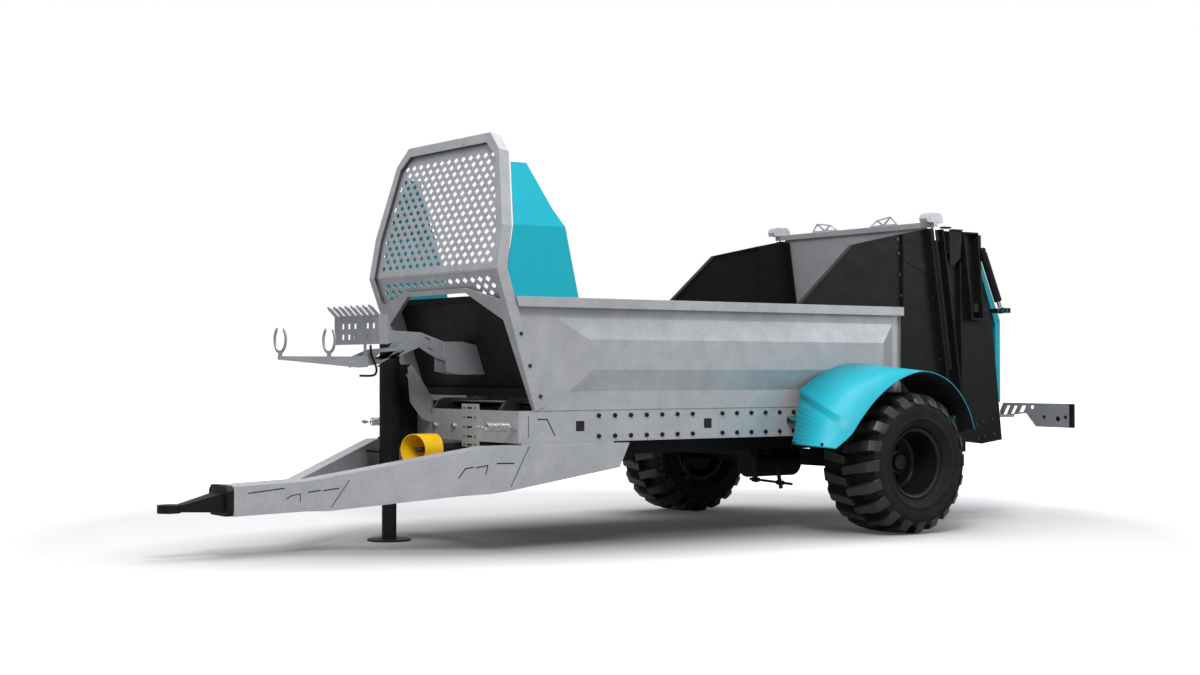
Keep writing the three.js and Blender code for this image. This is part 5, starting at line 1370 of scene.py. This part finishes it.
@dataclass
class RearTrim:
    """Bolts, seams and brackets on the rear unit's side plates, and the lamp boards' fittings."""

    side_y: float = 0.7653
    post_y: float = 0.815

    def build_bolts(self) -> None:
        """Bolts of the guard's sides, of the fenders' front flaps and of the rear side plates."""
        guard = Shape()
        for x, z in ((2.722, 1.29), (2.654, 1.1), (2.574, 0.917)):
            guard.bolt(LAY.at(x, 0.7665 - (1.283 - z) * 0.038, z), (0, 1, 0), 0.02)
        for y, z, x in ((0.87, 0.6, 0.6665), (1.2, 0.6, 0.7205)):
            guard.bolt(LAY.at(x, y, z), (0.8, 0, 0.55), 0.018)
        guard.mirrored().make("guard_bolts", STEEL_DARK, "frame", Slot.ZINC)
        black = Shape()
        places = [
            (-0.396, 1.883), (-0.408, 1.736), (-0.418, 1.59), (-0.746, 1.581), (-0.774, 1.432),
            (-0.8, 1.278), (-0.808, 1.148), (-1.173, 0.685), (-1.24, 0.704), (-1.341, 0.72),
            (-1.192, 0.585), (-1.256, 0.595), (-1.36, 0.611), (-0.386, 1.98),
        ]
        for x, z in places:
            black.bolt(LAY.at(x, self.side_y, z), (0, 1, 0), 0.02)
        black.mirrored().make("housing_bolts", STEEL_DARK, "frame", Slot.BLACK)

    def build_brackets(self) -> None:
        """Cover plates, post caps and the ram brackets between the posts."""
        face = Flat((0.0, self.side_y, 0.0), SIDE_FACE)
        shape = Shape()
        plates = (
            (0.004, [(-0.44, 1.84), (-0.74, 1.724), (-0.702, 2.04), (-0.44, 2.02)]),
            (0.02, [(-0.438, 1.5), (-0.426, 1.5), (-0.426, 2.02), (-0.438, 2.02)]),
            (0.03, [(-1.008, 0.95), (-0.998, 0.95), (-0.984, 1.84), (-0.994, 1.84)]),
            (0.04, [(-1.165, 1.49), (-1.115, 1.49), (-1.108, 1.55), (-1.158, 1.55)]),
        )
        for proud, corners in plates:
            face.plate(shape, corners, proud)
        shape.block(LAY.at(-0.871, 0.775, 2.074), LAY.at(-0.8, 0.82, 2.086))
        shape.block(LAY.at(-0.988, 0.775, 2.06), LAY.at(-0.895, 0.82, 2.072))
        outer = Flat((0.0, self.post_y - 0.012, 0.0), SIDE_FACE)
        hook = [(-0.86, 2.06), (-0.87, 1.83), (-0.905, 1.812), (-0.975, 1.87), (-0.99, 2.06)]
        outer.plate(shape, hook, 0.006)
        outer.plate(shape, [(-0.672, 2.05), (-0.745, 2.05), (-0.757, 1.98), (-0.686, 1.98)], 0.01)
        for x in (-0.86, -0.98):
            low = LAY.at(x - 0.004, self.side_y, 1.9)
            shape.block(low, LAY.at(x + 0.004, self.post_y - 0.012, 2.05))
        dark = Shape()
        for x, z, r in ((-0.925, 2.0, 0.03), (-0.915, 1.905, 0.024), (-0.955, 1.935, 0.012)):
            centre = outer.at(x, z, 0.004)
            dark.rod(centre, centre + outer.normal * 0.0025, r, 24)
        shape.mirrored().make("ram_brackets", BLACK, "frame", Slot.BLACK, bevel=0.0012)
        # The holes are near-black discs: painted shade in the cut-outs.
        dark.mirrored().make("bracket_holes", SHADE, "frame", Slot.BLACK)

    def build_lamps(self) -> None:
        """Bolts, end markers and rear lenses of the lamp boards."""
        bolts, ends, lenses = Shape(), Shape(), Shape()
        for y, z in ((1.036, 0.738), (1.229, 0.74)):
            bolts.bolt(LAY.at(-1.5937, y, z), (1, 0, 0), 0.018)
        ends.block(LAY.at(-1.6045, 1.268, 0.666), LAY.at(-1.582, 1.303, 0.832))
        lenses.block(LAY.at(-1.618, 1.08, 0.685), LAY.at(-1.606, 1.25, 0.80))
        ends.block(LAY.at(-1.606, 1.08, 0.685), LAY.at(-1.5995, 1.25, 0.80))
        bolts.mirrored().make("lamp_bolts", BLACK, "frame", Slot.BLACK)
        ends.mirrored().make("lamp_ends", BLACK, "frame", Slot.BLACK, bevel=0.004)
        lenses.mirrored().make("rear_lenses", RED_LENS, "frame", Slot.BLACK, bevel=0.004)

    def build_hood_trim(self) -> None:
        """The hood's black cross tube with its clevises, and ribs on the back."""
        tube = Shape().block(LAY.at(-1.4744, -0.8304, 1.4876), LAY.at(-1.4376, 0.8304, 1.5244))
        for y in (-0.824, -0.776, 0.776, 0.824):
            tube.block(LAY.at(-1.439, y - 0.0045, 1.4885), LAY.at(-1.3905, y + 0.0045, 1.5235))
        tube.make("hood_cross_tube", BLACK, "rear_hood", Slot.BLACK, bevel=0.003)
        ribs = Shape()
        for y in (-0.42, 0.0, 0.42):
            ribs.block(LAY.at(-1.558, y - 0.02, 0.87), LAY.at(-1.548, y + 0.02, 1.4))
        ribs.make("hood_ribs", TEAL, "rear_hood", Slot.TEAL, bevel=0.003)
        handle = Shape()
        for y in (-0.3, 0.3):
            path = spline([
                (-1.548, y - 0.08, 0.95), (-1.585, y - 0.075, 0.95), (-1.59, y, 0.95),
                (-1.585, y + 0.075, 0.95), (-1.548, y + 0.08, 0.95),
            ], 6)
            handle.tube(path + (LAY.axle_x, 0, 0), 0.007, 10)
        handle.make("hood_handles", BLACK, "rear_hood", Slot.BLACK, smooth=40)

    def build(self) -> None:
        """All of it, on both sides."""
        self.build_bolts()
        self.build_brackets()
        self.build_lamps()
        self.build_hood_trim()


# ------------------------------------------------------------------------------ refined CAD nodes

ROUND = 32.0

# Node, finish, slot, width of the rounded edges, and the angle below which edges look round. A
# star in a name stands for left and right.
SHELLS: tuple[tuple[str, Finish, Slot, float, float], ...] = (
    ("chassis_frame", ZINC, Slot.ZINC, 0.002, FLAT),
    ("drawbar", ZINC, Slot.ZINC, 0.005, FLAT),
    ("hopper_side_*", ZINC, Slot.ZINC, 0.0018, FLAT),
    ("front_guard", ZINC, Slot.ZINC, 0.002, FLAT),
    ("slide_gate", ZINC, Slot.ZINC, 0.002, FLAT),
    ("hose_arm", ZINC_FINE, Slot.ZINC, 0.001, FLAT),
    ("hose_rack", ZINC_FINE, Slot.ZINC, 0.0008, ROUND),
    ("jack_stay", ZINC_FINE, Slot.ZINC, 0.0012, FLAT),
    ("lamp_board_*", ZINC_FINE, Slot.ZINC, 0.001, ROUND),
    ("fender_*", TEAL, Slot.TEAL, 0.0, 60.0),
    ("tow_eye", BLACK, Slot.BLACK, 0.005, ROUND),
    ("jack_tube", BLACK, Slot.BLACK, 0.002, ROUND),
    ("jack_leg", BLACK, Slot.BLACK, 0.003, ROUND),
    ("front_wall", BLACK, Slot.BLACK, 0.0015, FLAT),
    ("rear_extension_*", BLACK, Slot.BLACK, 0.0018, FLAT),
    ("spreader_side_*", BLACK, Slot.BLACK, 0.002, FLAT),
    ("rear_top_beam", BLACK, Slot.BLACK, 0.003, FLAT),
    ("side_panel_*", TEAL, Slot.TEAL, 0.0012, FLAT),
    ("rear_hood", TEAL, Slot.TEAL, 0.0015, FLAT),
    ("axle", BLACK, Slot.BLACK, 0.004, ROUND),
    ("axle_frame", BLACK, Slot.BLACK, 0.004, ROUND),
    ("spreader_table", BLACK, Slot.BLACK, 0.004, ROUND),
    ("air_tank", BLACK, Slot.BLACK, 0.008, ROUND),
    ("beater_upper", BLACK, Slot.BLACK, 0.001, ROUND),
    ("beater_lower", BLACK, Slot.BLACK, 0.001, ROUND),
    ("pto_guard", YELLOW, Slot.YELLOW, 0.0015, ROUND),
)

PLAIN: dict[str, Finish] = {
    "hopper_floor": STEEL,
    "scraper_floor": STEEL,
    "disc_*": STEEL,
    "input_shaft": STEEL,
    "drive_tube": BLACK,
    "gate_barrel_*": BLACK,
    "gate_rod_*": CHROME,
    "hood_barrel_*": BLACK,
    "hood_rod_*": CHROME,
}


def named(pattern: str) -> list[str]:
    """The left and right names that a star stands for, or the one name without a star."""
    sides = ("left", "right") if "*" in pattern else ("",)
    return [pattern.replace("*", side) for side in sides]


def dress_frame() -> None:
    """Rounds the edges of the plate work, and paints the CAD nodes that stay as they are."""
    for pattern, finish, slot, bevel, smooth in SHELLS:
        for node in named(pattern):
            refine(node, finish, bevel, smooth)
    for pattern, finish in PLAIN.items():
        for node in named(pattern):
            materials = frame["nodes"][node].data.materials
            materials.clear()
            materials.append(PAINTS.of(finish))


# ------------------------------------------------------------------------------ stage

CAMERA_FROM_AXLE = (8.404, 9.509, 1.076)
CAMERA_YAW = math.radians(35.59)
CAMERA_PITCH = math.radians(1.046)
LENS = 52.93
SENSOR_WIDTH = 36.0
FAR = 200.0


def build_camera() -> None:
    """A level view from the front left, slightly upwards."""
    data = bpy.data.cameras.new("camera")
    data.lens = LENS
    data.sensor_width = SENSOR_WIDTH
    data.clip_end = FAR
    camera = bpy.data.objects.new("camera", data)
    bpy.context.scene.collection.objects.link(camera)
    camera.location = LAY.at(*CAMERA_FROM_AXLE)
    view = Vector((
        -math.sin(CAMERA_YAW) * math.cos(CAMERA_PITCH),
        -math.cos(CAMERA_YAW) * math.cos(CAMERA_PITCH),
        math.sin(CAMERA_PITCH),
    ))
    camera.rotation_euler = view.to_track_quat("-Z", "Y").to_euler()
    bpy.context.scene.camera = camera


def seen_directly(graph: Graph) -> Socket:
    """1 for what the camera sees itself."""
    return graph.add("ShaderNodeLightPath").outputs["Is Camera Ray"]


WHITE = (1.0, 1.0, 1.0)
SKY_HORIZON = (0.19, 0.195, 0.205)
SKY_ZENITH = (0.86, 0.88, 0.92)
SKY_TOP = 0.9


def build_world() -> None:
    """White behind the object, and a soft grey sky for light and reflections."""
    world = bpy.data.worlds.new("studio")
    bpy.context.scene.world = world
    world.use_nodes = True
    graph = Graph(world.node_tree)
    background = world.node_tree.nodes["Background"]
    split = graph.add("ShaderNodeSeparateXYZ")
    graph.feed(split.inputs[0], graph.add("ShaderNodeTexCoord").outputs["Generated"])
    sky = graph.mix(graph.span(split.outputs[2], 0.0, SKY_TOP), SKY_HORIZON, SKY_ZENITH)
    graph.feed(background.inputs["Color"], graph.mix(seen_directly(graph), sky, WHITE))
    background.inputs["Strength"].default_value = 1.0


@dataclass(frozen=True)
class Floor:
    """A pale floor with the machine's cast shadow and a painted shadow, fading to white away from
    it.

    pool holds the half length and half width of the painted shadow, a darker grey on the ground
    under the machine, pool_edge where it ends in those units, and glow how brightly the ground
    shines from near to far.
    """

    side: float = 80.0
    pool: tuple[float, float] = (3.1, 1.5)
    pool_edge: tuple[float, float] = (0.3, 1.15)
    painted_shadow_grey: tuple[float, float, float] = (0.13, 0.13, 0.13)
    open_grey: tuple[float, float, float] = (0.6, 0.6, 0.6)
    lit_grey: tuple[float, float, float] = (0.36, 0.36, 0.36)
    fade: tuple[float, float] = (3.6, 7.0)
    glow: tuple[float, float] = (0.04, 1.0)

    def paint(self) -> bpy.types.Material:
        """Painted shadow under the machine on grey ground that turns into the white background.

        Returns:
            The floor's material.
        """
        material = bpy.data.materials.new("pale_floor")
        material.use_nodes = True
        graph = Graph(material.node_tree)
        surface = material.node_tree.nodes["Principled BSDF"]
        away = graph.add("ShaderNodeVectorMath", operation="LENGTH")
        graph.feed(away.inputs[0], graph.add("ShaderNodeTexCoord").outputs["Object"])
        under = graph.add("ShaderNodeVectorMath", operation="MULTIPLY")
        graph.feed(under.inputs[0], graph.add("ShaderNodeTexCoord").outputs["Object"])
        under.inputs[1].default_value = (1 / self.pool[0], 1 / self.pool[1], 0.0)
        pool = graph.add("ShaderNodeVectorMath", operation="LENGTH")
        graph.feed(pool.inputs[0], under.outputs[0])
        share = graph.span(pool.outputs["Value"], *self.pool_edge)
        # Painted shadow: the camera sees darker grey in an oval under the machine.
        shadowed_ground = graph.mix(share, self.painted_shadow_grey, self.open_grey)
        direct = seen_directly(graph)
        graph.feed(surface.inputs["Base Color"], graph.mix(direct, self.lit_grey, shadowed_ground))
        surface.inputs["Roughness"].default_value = 0.9
        surface.inputs["Specular IOR Level"].default_value = 0.1
        surface.inputs["Emission Color"].default_value = (*WHITE, 1.0)
        fade = graph.span(away.outputs["Value"], *self.fade, *self.glow)
        graph.feed(surface.inputs["Emission Strength"], graph.math("MULTIPLY", direct, fade))
        return material

    def build(self) -> None:
        """A square on the ground round the frame's origin."""
        half = self.side / 2
        shape = Shape().grid(np.array([
            [(-half, -half, 0), (-half, half, 0)],
            [(half, -half, 0), (half, half, 0)],
        ]))
        mesh = bpy.data.meshes.new("floor")
        mesh.from_pydata(np.vstack(shape.vertices).tolist(), [], shape.faces)
        floor = bpy.data.objects.new("floor", mesh)
        bpy.context.scene.collection.objects.link(floor)
        mesh.materials.append(self.paint())


@dataclass(frozen=True)
class Softbox:
    """A square area light aimed at the machine.

    level is the brightness that it gives a white face turned towards it.
    """

    name: str
    place: tuple[float, float, float]
    size: float
    level: float
    target: tuple[float, float, float] = (0.0, 0.0, 0.9)

    def build(self) -> None:
        """Adds the light, its power being level pi^2 d^2 at the distance d."""
        aim = Vector(self.target) - Vector(self.place)
        data = bpy.data.lights.new(self.name, "AREA")
        data.shape = "SQUARE"
        data.size = self.size
        data.energy = self.level * (math.pi * aim.length) ** 2
        light = bpy.data.objects.new(self.name, data)
        bpy.context.scene.collection.objects.link(light)
        light.location = self.place
        light.rotation_euler = aim.to_track_quat("-Z", "Y").to_euler()


LIGHTS = (
    Softbox("overhead", (0.3, -0.6, 9.0), 7.0, 0.85),
    Softbox("front_left", (4.6, 6.4, 8.4), 3.0, 0.62),
    Softbox("rear_left", (-7.0, 5.0, 3.5), 3.0, 0.12),
)


def build_stage() -> None:
    """Camera, floor, sky and lights."""
    build_camera()
    build_world()
    Floor().build()
    for light in LIGHTS:
        light.build()
    bpy.context.scene.view_settings.view_transform = "Standard"


# ------------------------------------------------------------------------------ main


def report_new(known: set[str]) -> None:
    """Reports the pieces that have come since the last call.

    Args:
        known: the names reported so far, which takes in the new ones.
    """
    for piece in bpy.context.scene.objects:
        if piece.type == "MESH" and piece.name not in known:
            log.info("%s: %d faces", piece.name, len(piece.data.polygons))
            known.add(piece.name)


def main() -> None:
    """Builds the stage and the sub-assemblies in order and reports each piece."""
    logging.basicConfig(level=logging.INFO, format="%(name)s: %(message)s")
    known = {node.name for node in frame["nodes"].values()}
    build_stage()
    dress_frame()
    report_new(known)
    for part in (
        Wheel(1), Wheel(-1), Screen(), RailTrim(), ParkingSprings(),
        FenderShade("left"), FenderShade("right"), FrontTrim(), RearTrim(),
    ):
        part.build()
        report_new(known)


if __name__ == "__main__":
    main()
